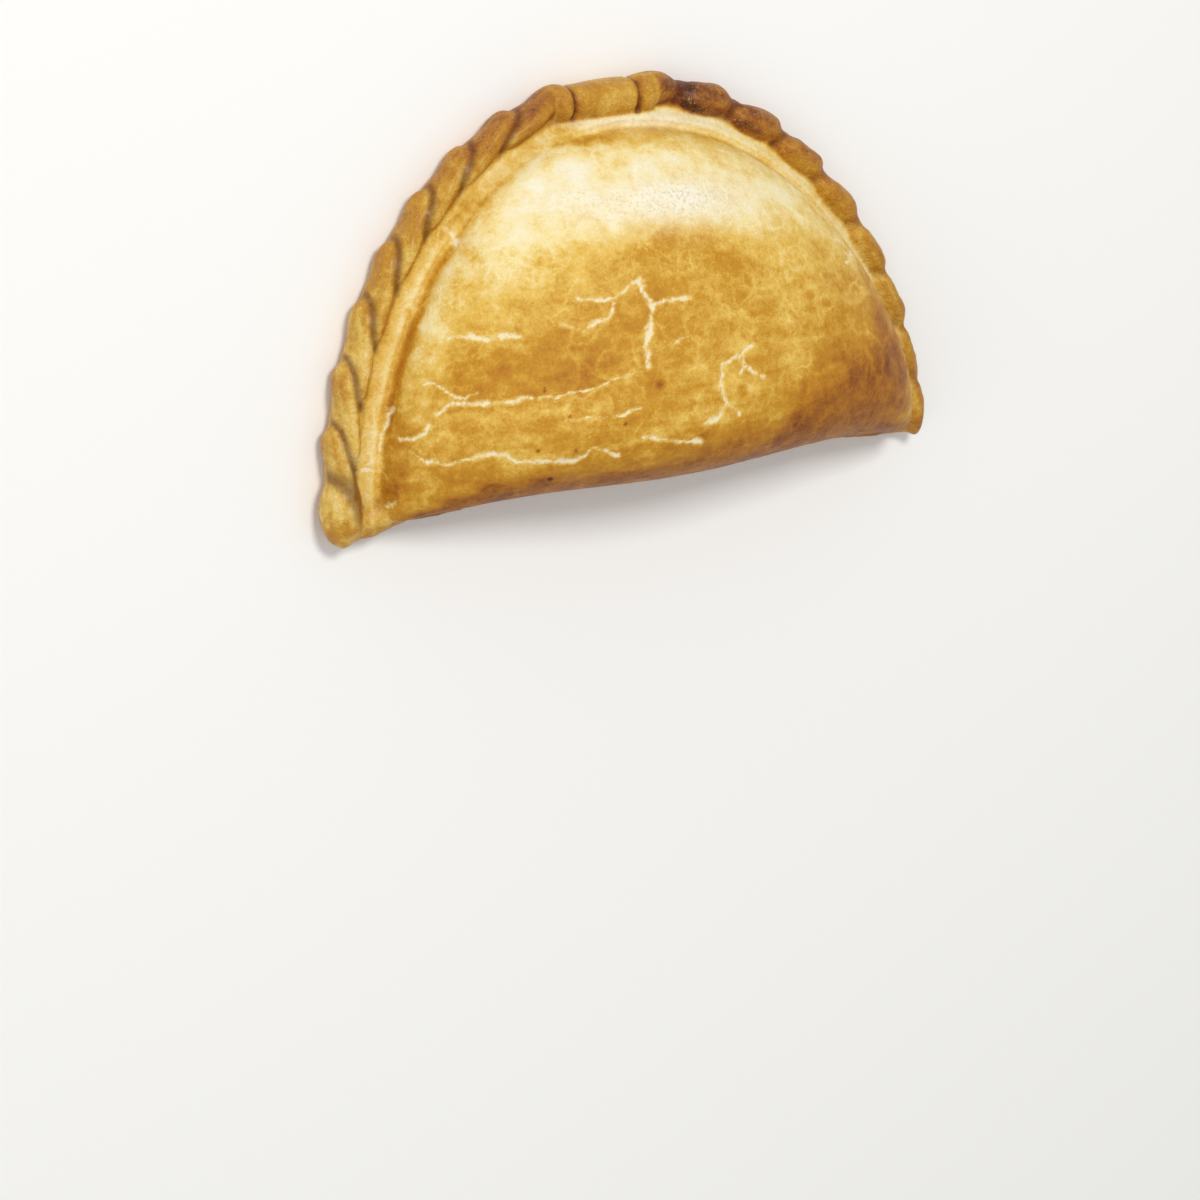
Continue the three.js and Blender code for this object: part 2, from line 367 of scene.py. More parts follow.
    def dome_z(self, x: np.ndarray, y: np.ndarray) -> np.ndarray:
        """Height of the dome over points of the plan.

        Args:
            x: Places along the fold.
            y: Places from the fold to the rim.

        Returns:
            One height for each point.
        """
        middle_line = np.linspace(0.0, self.depth, self.dome_steps)
        greatest = self.dome_rise(np.zeros_like(middle_line), middle_line).max()
        return self.groove_z + (self.height - self.groove_z) / greatest * self.dome_rise(x, y)

    def even_directions(self, turn: np.ndarray) -> np.ndarray:
        """Directions at even steps along the crust's edge.

        Args:
            turn: Shares of the way round, from the middle of the fold.

        Returns:
            One direction from the middle for each share.
        """
        angles = np.linspace(-math.pi / 2, 1.5 * math.pi, self.edge_steps)
        edge = self.edge_radius(angles)
        steps = np.hypot(np.diff(edge * np.cos(angles)), np.diff(edge * np.sin(angles)))
        run = np.concatenate([[0.0], np.cumsum(steps)])
        return np.interp(turn, run / run[-1], angles)

    def surface(self, angle: np.ndarray, ring: np.ndarray) -> np.ndarray:
        """Points of the crust's surface.

        Args:
            angle: Directions from the middle.
            ring: Shares of the way from the dome's top to the middle of the base.

        Returns:
            One point for each pair.
        """
        foot = self.foot_radius(angle)
        edge = np.maximum(self.edge_radius(angle), foot)
        foot_z = self.dome_z(foot * np.cos(angle), self.middle_y + foot * np.sin(angle))
        weight = self.rim_weight(angle)
        along = np.clip((ring - self.dome_rings) / self.rim_rings, 0.0, 1.0)
        on_rim = through(np.array([(p.share, p.rim_z) for p in self.section]), along)
        on_fold = through(np.array([(p.under, p.fold_z) for p in self.section]), along) * foot_z[:, None]
        rim_z = on_rim[:, 1] + (foot_z - self.groove_z) * (1 - along) ** self.foot_ease
        inward = np.clip((1 - ring) / (1 - self.dome_rings - self.rim_rings), 0.0, 1.0)
        band_r = (between(foot, edge, on_rim[:, 0]) - on_fold[:, 0] * (1 - weight)) * inward
        band_z = np.maximum(between(on_fold[:, 1], rim_z, weight), 0.0)
        on_dome = ring <= self.dome_rings
        dome_r = foot * np.sin(np.minimum(ring / self.dome_rings, 1.0) * math.pi / 2)
        r = np.where(on_dome, dome_r, band_r)
        x, y = r * np.cos(angle), self.middle_y + r * np.sin(angle)
        return np.stack([x, y, np.where(on_dome, self.dome_z(x, y), band_z)], axis=1)

    def add_to(self, bm: bmesh.types.BMesh) -> None:
        """Adds the crust: a sphere whose rings become the rings of its sections.

        Args:
            bm: The mesh that it is added to.
        """
        ball = bmesh.ops.create_uvsphere(bm, u_segments=self.around, v_segments=self.rings, radius=1.0)
        sphere = np.array([vert.co for vert in ball["verts"]])
        turn = np.mod(np.arctan2(sphere[:, 1], sphere[:, 0]) / (2 * math.pi), 1.0)
        ring = np.arccos(np.clip(sphere[:, 2], -1.0, 1.0)) / math.pi
        for vert, place in zip(ball["verts"], self.surface(self.even_directions(turn), ring).tolist()):
            vert.co = place


@dataclass(frozen=True)
class Finger:
    """A blunt finger of dough, turned and set at a place."""

    place: Triple
    half_sizes: Triple
    bluntness: float = 2.0
    taper: float = 0.0
    heading: float = 0.0
    lift: float = 0.0
    around: int = 40
    along: int = 30

    def turned(self) -> Matrix:
        """Turn of the finger, from lying along X."""
        return Matrix.Rotation(self.heading, 3, "Z") @ Matrix.Rotation(self.lift, 3, "Y")

    def add_to(self, bm: bmesh.types.BMesh) -> None:
        """Adds the finger: a ball along X that is made blunt, sized, turned and moved.

        Args:
            bm: The mesh that it is added to.
        """
        lying = Matrix.Rotation(math.pi / 2, 4, "Y")
        ball = bmesh.ops.create_uvsphere(
            bm, u_segments=self.around, v_segments=self.along, radius=1.0, matrix=lying
        )
        turned, place, sizes = self.turned(), Vector(self.place), Vector(self.half_sizes)
        for vert in ball["verts"]:
            x = max(-1.0, min(1.0, vert.co.x))
            full = math.sqrt(max(1 - abs(x) ** self.bluntness, 0.0) / max(1 - x * x, TINY))
            full *= 1 + self.taper * x
            blunt = Vector((x, vert.co.y * full, vert.co.z * full))
            vert.co = place + turned @ (blunt * sizes)

    def seen_from(self, points: np.ndarray) -> tuple[np.ndarray, np.ndarray]:
        """Where points lie against the finger.

        Args:
            points: Places, one row each.

        Returns:
            A depth, which is 1 on the surface and less inside, and the place in the finger's own axes.
        """
        local = (points - np.array(self.place)) @ np.array(self.turned())
        x, y, z = (local / np.array(self.half_sizes)).T
        thick = 1 + self.taper * np.clip(x, -1.0, 1.0)
        return (y**2 + z**2) / thick**2 + np.abs(x) ** self.bluntness, local


@dataclass(frozen=True)
class RopeSide:
    """One side of the rope: how its crimps are spaced, twisted and shaped.

    The tab covers a share of the last crimp, shift moves the crimps towards the horn, and crimp holds the
    half sizes of one.
    """

    cover: float
    shift: float
    twist: float
    crimp: Triple
    bluntness: float


LEFT_SIDE = RopeSide(cover=0.3, shift=5.2, twist=math.radians(13), crimp=(9.2, 2.25, 3.7), bluntness=4.2)
RIGHT_SIDE = RopeSide(cover=0.92, shift=1.9, twist=math.radians(6), crimp=(7.0, 3.1, 3.7), bluntness=3.0)


@dataclass(frozen=True)
class RopeCrimp:
    """The rope crimp along the rim: a row of fingers on each side of the tab, and a knob at each horn."""

    shape: CrustShape
    tab_width: float
    per_side: int = 9
    taper: float = 0.12
    knob: Triple = (7.0, 4.1, 4.8)
    right_knob: float = 0.76
    horn: Triple = (12.0, 4.2, 4.4)
    horn_x: float = 56.0
    horn_y: float = 5.4
    horn_slope: float = math.radians(18)
    inset: float = 2.1
    rope_z: float = 4.9
    right_rope: float = 0.85
    tip_lift: float = math.radians(8)
    unevenness: float = 0.07
    twist_unevenness: float = math.radians(3)
    look_ahead: float = 0.5
    steps: int = 960

    def width_at(self, angle: np.ndarray) -> np.ndarray:
        """The rope's width in a direction, as a share of its width at the left."""
        return between(1.0, self.right_rope, self.shape.to_right(angle))

    def path(self) -> tuple[np.ndarray, np.ndarray]:
        """The rope's middle line, from the right horn over the rim to the left horn.

        Returns:
            Its points, and how far each is along the line.
        """
        horn = self.shape.horn_angle
        angle = np.linspace(horn, math.pi - horn, self.steps + 1)
        r = self.shape.rim_radius(angle) - self.inset * self.width_at(angle)
        z = np.full_like(r, self.rope_z)
        points = np.stack([r * np.cos(angle), self.shape.middle_y + r * np.sin(angle), z], axis=1)
        run = np.concatenate([[0.0], np.cumsum(np.linalg.norm(np.diff(points, axis=0), axis=1))])
        return points, run

    def finger(self, index: int, points: np.ndarray, run: np.ndarray) -> Finger:
        """One finger of the rope.

        Args:
            index: Its number from the right horn.
            points: The rope's middle line.
            run: How far each of the line's points is along it.

        Returns:
            A crimp, or a knob where it is the first or the last.
        """
        last = 2 * self.per_side - 1
        is_knob = index in (0, last)
        on_right = index < self.per_side
        side = RIGHT_SIDE if on_right else LEFT_SIDE
        pitch = (run[-1] - self.tab_width) / 2 / (self.per_side - side.cover)
        steps = (index if on_right else last - index) + 0.5 + self.unevenness * uneven(index, Draw.PLACE)
        from_horn = steps * pitch - (0.0 if is_knob else side.shift)
        along = from_horn if on_right else run[-1] - from_horn
        place = tuple(float(np.interp(along, run, points[:, axis])) for axis in range(3))
        ahead = [float(np.interp(along + self.look_ahead, run, points[:, axis])) for axis in range(2)]
        heading = math.atan2(place[1] - ahead[1], place[0] - ahead[0])
        wide = float(self.width_at(np.arctan2(place[1] - self.shape.middle_y, place[0])))
        long = 1 + self.unevenness * uneven(index, Draw.LENGTH)
        thick = 1 + self.unevenness * uneven(index, Draw.THICKNESS)
        if is_knob:
            thick *= self.right_knob if on_right else 1.0
            sizes = (self.knob[0] * long, self.knob[1] * thick * wide, self.knob[2] * thick)
            return Finger(place, sizes, heading=heading)
        return Finger(
            place=place,
            half_sizes=(side.crimp[0] * long, side.crimp[1] * thick * wide, side.crimp[2] * thick),
            bluntness=side.bluntness,
            taper=self.taper,
            heading=heading + (side.twist + self.twist_unevenness * uneven(index, Draw.TWIST)),
            lift=self.tip_lift,
        )

    def fingers(self) -> list[Finger]:
        """The rope's fingers in order from the right horn, with a knob first and last."""
        points, run = self.path()
        return [self.finger(index, points, run) for index in range(2 * self.per_side)]

    def horns(self) -> list[Finger]:
        """The two ends of the fold, which swell out to the horns.

        Returns:
            The left end and the right end.
        """
        horns = []
        for side, share in ((-1, 1.0), (1, self.right_knob)):
            sizes = (self.horn[0], self.horn[1] * share, self.horn[2] * share)
            place = (side * self.horn_x, self.horn_y, sizes[2])
            horns.append(Finger(place, sizes, heading=-side * self.horn_slope))
        return horns

    def add_to(self, bm: bmesh.types.BMesh) -> None:
        """Adds the fingers, the knobs and the ends of the fold."""
        for finger in [*self.fingers(), *self.horns()]:
            finger.add_to(bm)


@dataclass(frozen=True)
class PressedTab:
    """The plain pressed tab at the middle of the rope, with a low rib at each end."""

    shape: CrustShape
    width: float = 22.0
    middle_x: float = -2.2
    depth: float = 6.4
    height: float = 8.0
    rounding: float = 3.0
    lowest: float = 0.4
    rib: Triple = (3.7, 1.9, 4.4)
    rib_bluntness: float = 3.4
    line_inset: float = 3.9
    line_width: float = 0.6
    end_edge: Span = (0.6, -0.2)
    side_edge: float = 0.7
    segments: int = 6

    @property
    def middle_y(self) -> float:
        """Y of the tab's middle."""
        return self.shape.depth - self.depth / 2

    def ribs(self) -> list[Finger]:
        """The low ribs at the tab's two ends.

        Returns:
            The left rib and the right rib.
        """
        x, z = self.width / 2 - self.rib[1], self.lowest + self.rib[2]
        places = [(self.middle_x + side * x, self.middle_y, z) for side in (-1, 1)]
        return [Finger(place, self.rib, self.rib_bluntness, heading=math.pi / 2) for place in places]

    def add_to(self, bm: bmesh.types.BMesh) -> None:
        """Adds the tab's plate, which is a block with round edges, and its two ribs.

        Args:
            bm: The mesh that they are added to.
        """
        place = Matrix.Translation((self.middle_x, self.middle_y, self.lowest + self.height / 2))
        size = Matrix.Diagonal((self.width, self.depth, self.height, 1.0))
        cube = bmesh.ops.create_cube(bm, size=1.0, matrix=place @ size)
        bmesh.ops.bevel(
            bm,
            geom=list({edge for vert in cube["verts"] for edge in vert.link_edges}),
            offset=self.rounding,
            offset_type="OFFSET",
            segments=self.segments,
            profile=0.5,
            affect="EDGES",
            material=-1,
        )
        for rib in self.ribs():
            rib.add_to(bm)

    def share(self, points: np.ndarray) -> np.ndarray:
        """How far points belong to the tab.

        Args:
            points: Places in the plan, one row each.

        Returns:
            One share for each point, from 0 to 1.
        """
        outer, inner = self.end_edge
        along = eased(np.abs(points[:, 0] - self.middle_x), self.width / 2 + outer, self.width / 2 + inner)
        back = eased(np.abs(points[:, 1] - self.middle_y), self.depth / 2 + self.side_edge, self.depth / 2)
        return along * back

    def rib_line(self, points: np.ndarray) -> np.ndarray:
        """How near points lie to the groove beside a rib, up to 1."""
        line = Ridge(1.0, self.width / 2 - self.line_inset, self.line_width)
        return line.over(np.abs(points[:, 0] - self.middle_x))


def linked(name: str, data: bpy.types.ID) -> bpy.types.Object:
    """Puts a new object into the scene.

    Args:
        name: Its name.
        data: Its mesh, light or camera.

    Returns:
        The object.
    """
    item = bpy.data.objects.new(name, data)
    bpy.context.scene.collection.objects.link(item)
    return item


def mesh_of(bm: bmesh.types.BMesh, name: str) -> bpy.types.Mesh:
    """Makes a mesh from an edited one, which is freed.

    Args:
        bm: The edited mesh.
        name: Name of the new one.

    Returns:
        The new mesh.
    """
    mesh = bpy.data.meshes.new(name)
    bm.to_mesh(mesh)
    bm.free()
    return mesh


@dataclass(frozen=True)
class PhotoCamera:
    """The camera: it looks down on the dome from the left, with the object in the frame's upper half."""

    from_left: float = math.radians(30.5)
    from_rim: float = math.radians(11.06)
    roll: float = math.radians(-2.8)
    distance: float = 0.8
    focal_px: float = 4098.0
    target: Triple = (0.0, 0.0, 0.005)
    target_px: Pixel = (625.0, 286.5)
    nearest: float = 0.01
    farthest: float = 20.0

    @property
    def back(self) -> Vector:
        """Direction from the object to the camera."""
        a, b = self.from_left, self.from_rim
        return Vector((-math.sin(a) * math.cos(b), math.sin(b), math.cos(a) * math.cos(b)))

    @property
    def place(self) -> Vector:
        """Where the camera stands."""
        return Vector(self.target) + self.back * self.distance

    def basis(self) -> Matrix:
        """The camera's turn, with the object at its place in the frame.

        Returns:
            The camera's right, up and back directions as columns.
        """
        level = Vector((math.cos(self.from_left), 0.0, math.sin(self.from_left)))
        upright = self.back.cross(level)
        right = math.cos(self.roll) * level + math.sin(self.roll) * upright
        up = self.back.cross(right)
        x, y = (px - FRAME_PX / 2 for px in self.target_px)
        to_target = Vector((x / self.focal_px, -y / self.focal_px, -1.0))
        aim = to_target.normalized().rotation_difference(Vector((0.0, 0.0, -1.0))).to_matrix()
        return Matrix((right, up, self.back)).transposed() @ aim

    def pixels(self, points: np.ndarray) -> np.ndarray:
        """Where points fall in the picture.

        Args:
            points: Places in the frame, in metres, one row each.

        Returns:
            One pixel for each point.
        """
        seen = (points - np.array(self.place)) @ np.array(self.basis())
        scale = self.focal_px / -seen[:, 2]
        half = FRAME_PX / 2
        return np.stack([half + seen[:, 0] * scale, half - seen[:, 1] * scale], axis=1)

    def build(self) -> bpy.types.Object:
        """Makes the camera and sets it as the scene's own.

        Returns:
            The camera.
        """
        data = bpy.data.cameras.new("photo_camera")
        data.sensor_width = SENSOR_MM
        data.lens = self.focal_px / FRAME_PX * SENSOR_MM
        data.clip_start, data.clip_end = self.nearest, self.farthest
        camera = linked("photo_camera", data)
        camera.matrix_world = Matrix.Translation(self.place) @ self.basis().to_4x4()
        bpy.context.scene.camera = camera
        return camera


class Mask(Enum):
    """A value that the skin stores at each point for the finish."""

    SPLIT = "split"
    # Browning, with painted shade on the rope's inward flanks and a painted highlight on the upper dome.
    BAKE = "bake"
    # Painted shade in the hollows and in the seams between fingers.
    CREASE = "crease"
    # Pale glaze with a painted highlight on the upper dome and painted glints along the band.
    FROST = "frost"
    GLOSS = "gloss"


class Skin:
    """A closed skin of small faces as arrays, which can be smoothed and moved along its normals."""

    def __init__(self, mesh: bpy.types.Mesh) -> None:
        """Reads the mesh's points and edges.

        Args:
            mesh: The skin's mesh.
        """
        self.mesh = mesh
        points = np.empty(len(mesh.vertices) * 3)
        mesh.vertices.foreach_get("co", points)
        self.points = points.reshape(-1, 3)
        edges = np.empty(len(mesh.edges) * 2, dtype=np.int32)
        mesh.edges.foreach_get("vertices", edges)
        pairs = edges.reshape(-1, 2)
        self.ends = np.concatenate([pairs[:, 0], pairs[:, 1]])
        self.others = np.concatenate([pairs[:, 1], pairs[:, 0]])
        self.degree = np.maximum(np.bincount(self.ends, minlength=len(self.points)), 1)

    def around(self, values: np.ndarray) -> np.ndarray:
        """The mean of each point's neighbours' values.

        Args:
            values: One value or one row for each point.

        Returns:
            The means, in the same form.
        """
        if values.ndim == 1:
            return np.bincount(self.ends, values[self.others], len(self.points)) / self.degree
        return np.stack([self.around(column) for column in values.T], axis=1)

    def spread(self, values: np.ndarray, rounds: int) -> np.ndarray:
        """Values smoothed over the skin.

        Args:
            values: One value or one row for each point.
            rounds: How many times they are smoothed.

        Returns:
            The smoothed values.
        """
        for _ in range(rounds):
            values = between(values, self.around(values), ROUND_SHARE)
        return values

    def smooth(self, rounds: int, share: np.ndarray) -> None:
        """Smooths the skin's points.

        Args:
            rounds: How many times they are smoothed.
            share: How far each point follows.
        """
        weight = share[:, None] * ROUND_SHARE
        for _ in range(rounds):
            self.points = between(self.points, self.around(self.points), weight)

    def normals(self) -> np.ndarray:
        """Outward normals at the points as they are now.

        Returns:
            One normal for each point.
        """
        self.write()
        found = np.empty(len(self.points) * 3)
        self.mesh.vertex_normals.foreach_get("vector", found)
        return found.reshape(-1, 3)

    def hollows(self, rounds: int) -> np.ndarray:
        """How far each point lies below its smoothed surroundings."""
        return np.einsum("ij,ij->i", self.spread(self.points, rounds) - self.points, self.normals())

    def push(self, amount: np.ndarray) -> None:
        """Moves the points along their normals."""
        self.points = self.points + self.normals() * amount[:, None]

    def write(self) -> None:
        """Writes the points to the mesh."""
        self.mesh.vertices.foreach_set("co", self.points.astype(np.float32).ravel())
        self.mesh.update()

    def keep(self, mask: Mask, values: np.ndarray) -> None:
        """Stores a value for each point, for the finish to read."""
        attribute = self.mesh.attributes.new(mask.value, "FLOAT", "POINT")
        attribute.data.foreach_set("value", values.astype(np.float32))


@dataclass(frozen=True)
class Split:
    """A split in the browned skin, by picture points from end to end, with its half width in pixels."""

    points: tuple[Pixel, ...]
    half_width: float

    def distance(self, pixels: np.ndarray) -> np.ndarray:
        """How far pixels lie from the split's line.

        Args:
            pixels: Places in the picture, one row each.

        Returns:
            One distance for each pixel.
        """
        nearest = np.full(len(pixels), np.inf)
        for start, end in zip(self.points, self.points[1:]):
            a, run = np.array(start), np.array(end) - np.array(start)
            way = np.clip(((pixels - a) @ run) / (run @ run), 0.0, 1.0)
            nearest = np.minimum(nearest, np.linalg.norm(pixels - a - way[:, None] * run, axis=1))
        return nearest


@dataclass(frozen=True)
class Patch:
    """A soft patch that is browner or paler than its surroundings, by picture places, turned by degrees."""

    middle: Pixel
    reach: Pixel
    amount: float
    turn: float = 0.0

    def at(self, pixels: np.ndarray) -> np.ndarray:
        """What the patch adds to the browning.

        Args:
            pixels: Places in the picture, one row each.

        Returns:
            One amount for each pixel.
        """
        c, s = math.cos(math.radians(self.turn)), math.sin(math.radians(self.turn))
        x, y = (pixels - np.array(self.middle)).T
        along, across = (x * c - y * s) / self.reach[0], (x * s + y * c) / self.reach[1]
        return self.amount * np.exp(-(along**2 + across**2))


def patched(pixels: np.ndarray, patches: Iterable[Patch]) -> np.ndarray:
    """The sum of patches at each pixel."""
    return sum(patch.at(pixels) for patch in patches)


SPLITS = (
    Split(((446, 340), (456, 336), (473, 337), (487, 339), (502, 336), (519, 335)), 2.8),
    Split(((578, 298), (594, 299), (611, 299), (619, 296), (629, 288), (639, 281)), 2.2),
    Split(((614, 303), (612, 314), (604, 322), (591, 325), (582, 331), (570, 327), (561, 324)), 2.2),
    Split(((640, 281), (645, 291), (651, 304), (654, 310), (651, 323), (647, 337), (646, 366)), 2.6),
    Split(((653, 306), (664, 300), (676, 299), (688, 299)), 2.3),
    Split(((750, 346), (744, 354), (733, 358), (724, 365), (722, 381), (724, 393), (726, 403)), 1.8),
    Split(((726, 403), (721, 413), (715, 420), (700, 425)), 2.0),
    Split(((726, 403), (736, 407), (739, 413)), 1.5),
    Split(((743, 357), (745, 364), (754, 371), (762, 377)), 1.8),
    Split(((744, 367), (739, 375)), 1.2),
    Split(((437, 416), (446, 407), (456, 402), (480, 404), (497, 403), (514, 401), (531, 398)), 2.1),
    Split(((531, 398), (557, 397), (574, 393), (601, 386), (618, 379), (634, 376)), 1.2),
    Split(((424, 384), (441, 388), (452, 394), (465, 398), (477, 393)), 1.3),
    Split(((410, 453), (424, 461), (444, 463), (465, 460), (482, 454), (490, 453), (504, 455)), 1.9),
    Split(((504, 455), (519, 462), (536, 462), (550, 459), (570, 459), (584, 455)), 2.2),
    Split(((584, 455), (593, 447), (604, 453), (620, 456)), 1.7),
    Split(((642, 437), (657, 439), (674, 441), (688, 442), (700, 439)), 2.0),
    Split(((400, 439), (414, 438), (424, 434), (431, 427)), 1.8),
    Split(((567, 420), (589, 419), (606, 417), (625, 414), (642, 408)), 1.1),
    Split(((391, 409), (385, 428), (380, 450)), 2.2),
    Split(((365, 504), (376, 510), (395, 504)), 1.8),
    Split(((354, 469), (378, 469)), 1.4),
    Split(((445, 228), (450, 233), (458, 243)), 2.6),
    Split(((676, 342), (690, 338), (702, 344)), 1.1),
    Split(((846, 262), (852, 250), (858, 246), (870, 254), (880, 266)), 1.9),
    Split(((880, 266), (888, 292), (894, 318)), 1.5),
)

PATCHES = (
    # The first two patches make the upper dome paler: partly pale crust, partly a painted highlight.
    Patch((600, 180), (190, 55), -0.34),
    Patch((690, 200), (70, 30), -0.12),
    Patch((500, 250), (85, 48), -0.26, 30),
    Patch((420, 335), (24, 90), -0.28, -16),
    Patch((810, 200), (60, 50), -0.18, -50),
    Patch((790, 310), (70, 50), -0.04),
    Patch((705, 255), (90, 26), 0.06),
    Patch((475, 360), (40, 18), 0.08),
    Patch((550, 375), (70, 28), 0.1),
    Patch((620, 335), (50, 30), 0.06),
    Patch((850, 395), (50, 34), 0.4, 36),
    Patch((888, 350), (18, 70), 0.22, 8),
    Patch((482, 203), (56, 17), 0.27, 42),
    Patch((590, 141), (30, 7), 0.26, 10),
    Patch((440, 485), (70, 16), 0.1),
    Patch((520, 503), (62, 11), 0.3, 8),
    Patch((720, 440), (60, 16), 0.14, 14),
)

ROPE_PATCHES = (
    Patch((680, 96), (24, 34), 0.4),
    Patch((735, 112), (40, 34), 0.26),
    Patch((790, 155), (44, 40), 0.17),
    Patch((520, 110), (60, 40), 0.12, 35),
    Patch((890, 300), (60, 120), -0.1),
    Patch((340, 430), (60, 160), -0.29),
    Patch((430, 230), (60, 60), -0.1),
)

# Frosted patches: pale glaze with a painted highlight on the upper dome and painted glints at the rope's
# foot along the top of the band.
FROST = (
    Patch((690, 198), (58, 22), 1.0),
    Patch((600, 205), (60, 20), 0.6),
    Patch((640, 120), (95, 7), 0.7),
)

SPECKS: tuple[Pixel, ...] = ((545, 390), (570, 417), (626, 424), (538, 451), (576, 451), (550, 478))
PITS: tuple[Pixel, ...] = ((661, 385), (742, 390))


@dataclass(frozen=True)
class Stretches:
    """Where one stretch of the crust passes into the next.

    Spans that end in _px are picture pixels and those that end in _depth are depths in a finger. The band's
    are shares of the way from the dome's foot to the edge.
    """

    seen_top: Span = (-0.35, 0.1)
    band: Span = (-1.0, 1.2)
    least_band: float = 1.0
    rope_core: Span = (0.4, 0.5)
    rope_depth: Span = (1.4, 1.1)
    rope_rounds: int = 2
    seam_depth: Span = (1.3, 0.1)
    horn_depth: Span = (1.0, 1.6)
    finger_step: float = 10.0
    groove_top_px: Span = (212.0, 250.0)
    groove_left_px: Span = (500.0, 465.0)
    groove_foot_px: Span = (475.0, 405.0)
    groove_right_px: Span = (545.0, 600.0)


@dataclass(frozen=True)
class Tearing:
    """How the splits wander, in picture pixels, and how they swell and fade."""

    wander: tuple[Waves, ...] = tuple(
        (Wave(1.6, 1.1, seed), Wave(2.4, 2.8, seed + 1), Wave(2.0, 7.0, seed + 2)) for seed in (3.0, 11.0)
    )
    reach: float = 3.0
    swell: Wave = Wave(0.4, 3.0, 23.0)
    fading: Wave = Wave(0.4, 4.0, 29.0)
    usual: float = 0.95
    faintest: float = 0.6
    facing: Span = (0.05, 0.3)


@dataclass(frozen=True)
class Relief:
    """The low relief that baking leaves, in millimetres, with the spots' reach in picture pixels."""

    lumps: Waves = (Wave(0.34, 24.0, 1.0), Wave(0.22, 10.0, 2.0))
    wrinkles: Waves = (Wave(0.1, (13.0, 3.2, 6.0), 4.0),)
    pebbles: Waves = (Wave(0.05, 1.9, 6.0), Wave(0.03, 1.0, 8.0))
    dough: Waves = (Wave(0.26, 5.0, 14.0), Wave(0.1, 2.2, 15.0), Wave(0.06, 1.2, 16.0))
    strands: Wave = Wave(0.14, (9.0, 1.5, 1.5), 18.0)
    dome_edge: Span = (0.5, -6.0)
    left_groove: Ridge = Ridge(0.25, 0.0, 0.8)
    right_groove: Ridge = Ridge(0.12, 0.0, 0.8)
    filled_groove: Ridge = Ridge(1.4, 0.2, 2.4)
    filled_welt: Ridge = Ridge(0.7, 2.5, 1.7)
    smoothed: Ridge = Ridge(1.0, 0.2, 2.2)
    smoothed_rounds: int = 38
    split_depth: float = 0.2
    split_wall: Span = (0.55, 0.95)
    lip_height: float = 0.12
    lip_rounds: int = 3
    pit_depth: float = 0.3
    pit_reach: float = 6.0
    spot_core: float = 0.3
    rib_groove: float = 1.1
    rope_loss: float = 0.5
    tab_dough: float = 0.6


@dataclass(frozen=True)
class Browning:
    """How brown each place is baked, on the scale of Tone, with the spans that end in _px in pixels. The
    rope's inward flanks and its creases get painted shade.
    """

    dome: float = 0.51
    darkest_dome: float = 0.8
    drift: tuple[Waves, ...] = (
        (Wave(1.0, 15.0, 31.0), Wave(0.5, 5.0, 32.0)),
        (Wave(1.0, 15.0, 37.0), Wave(0.5, 5.0, 38.0)),
    )
    drift_px: float = 18.0
    mottle: Waves = (Wave(0.1, 6.0, 35.0), Wave(0.08, 2.6, 36.0))
    mottled: Span = (0.08, 0.3)
    fold: float = 0.34
    fold_reach: float = 13.0
    streaks: Waves = (Wave(1.0, (15.0, 2.4, 6.0), 33.0), Wave(0.8, (6.0, 1.1, 2.0), 34.0))
    streak: float = 0.08
    streak_reach: Span = (55.0, 15.0)
    broken: Wave = Wave(0.6, 8.0, 41.0)
    unbroken: float = 0.7
    broken_limits: Span = (0.1, 1.0)
    left_band: float = 0.41
    left_welt: Ridge = Ridge(0.12, 0.22, 0.08)
    right_band: float = 0.26
    right_welt: Ridge = Ridge(0.05, 0.22, 0.08)
    right_line: Ridge = Ridge(0.09, 0.12, 0.03)
    filled_band: float = 0.47
    filled_fade: float = 0.7
    band_noise: Wave = Wave(0.05, 5.0, 42.0)
    band_edge: Span = (-0.6, 0.4)
    deep_line: Ridge = Ridge(0.24, -0.1, 0.4)
    broad_shade: Ridge = Ridge(0.1, -1.5, 1.2)
    fine_line: Ridge = Ridge(0.15, 0.0, 0.4)
    rope: float = 0.55
    finger: float = 0.05
    rope_noise: Waves = (Wave(0.05, 6.0, 43.0), Wave(0.05, 2.4, 44.0), Wave(0.06, 1.0, 46.0))
    strands: Wave = Wave(0.1, (8.0, 1.3, 1.3), 45.0)
    # Painted shade on the rope's flanks that face inward, turned paler on the right side.
    inner: float = 0.16
    inward_shade_facing: Span = (-0.25, -0.8)
    right_inward_shade: float = -0.6
    inward_shade_px: Span = (730.0, 820.0)
    outer: float = 0.1
    outer_reach: Span = (2.2, 0.2)
    tab: float = 0.55
    tab_noise: Wave = Wave(0.08, 4.0, 47.0)
    rib_line: float = 0.16
    base: float = 0.62
    base_noise: Wave = Wave(0.08, 9.0, 51.0)
    base_facing: Span = (-0.2, -0.8)
    speck: float = 0.35
    speck_reach: float = 2.7
    pit: float = 0.2
    pit_reach: float = 8.0
    # Painted shade in hollows and seams of the rope and tab, weaker on the right.
    crease: Span = (0.06, 0.36)
    crease_shade_rounds: int = 10
    crease_shade_spread: int = 3
    seam: float = 0.8
    right_crease_shade: float = 0.45
    crease_shade_px: Span = (760.0, 840.0)


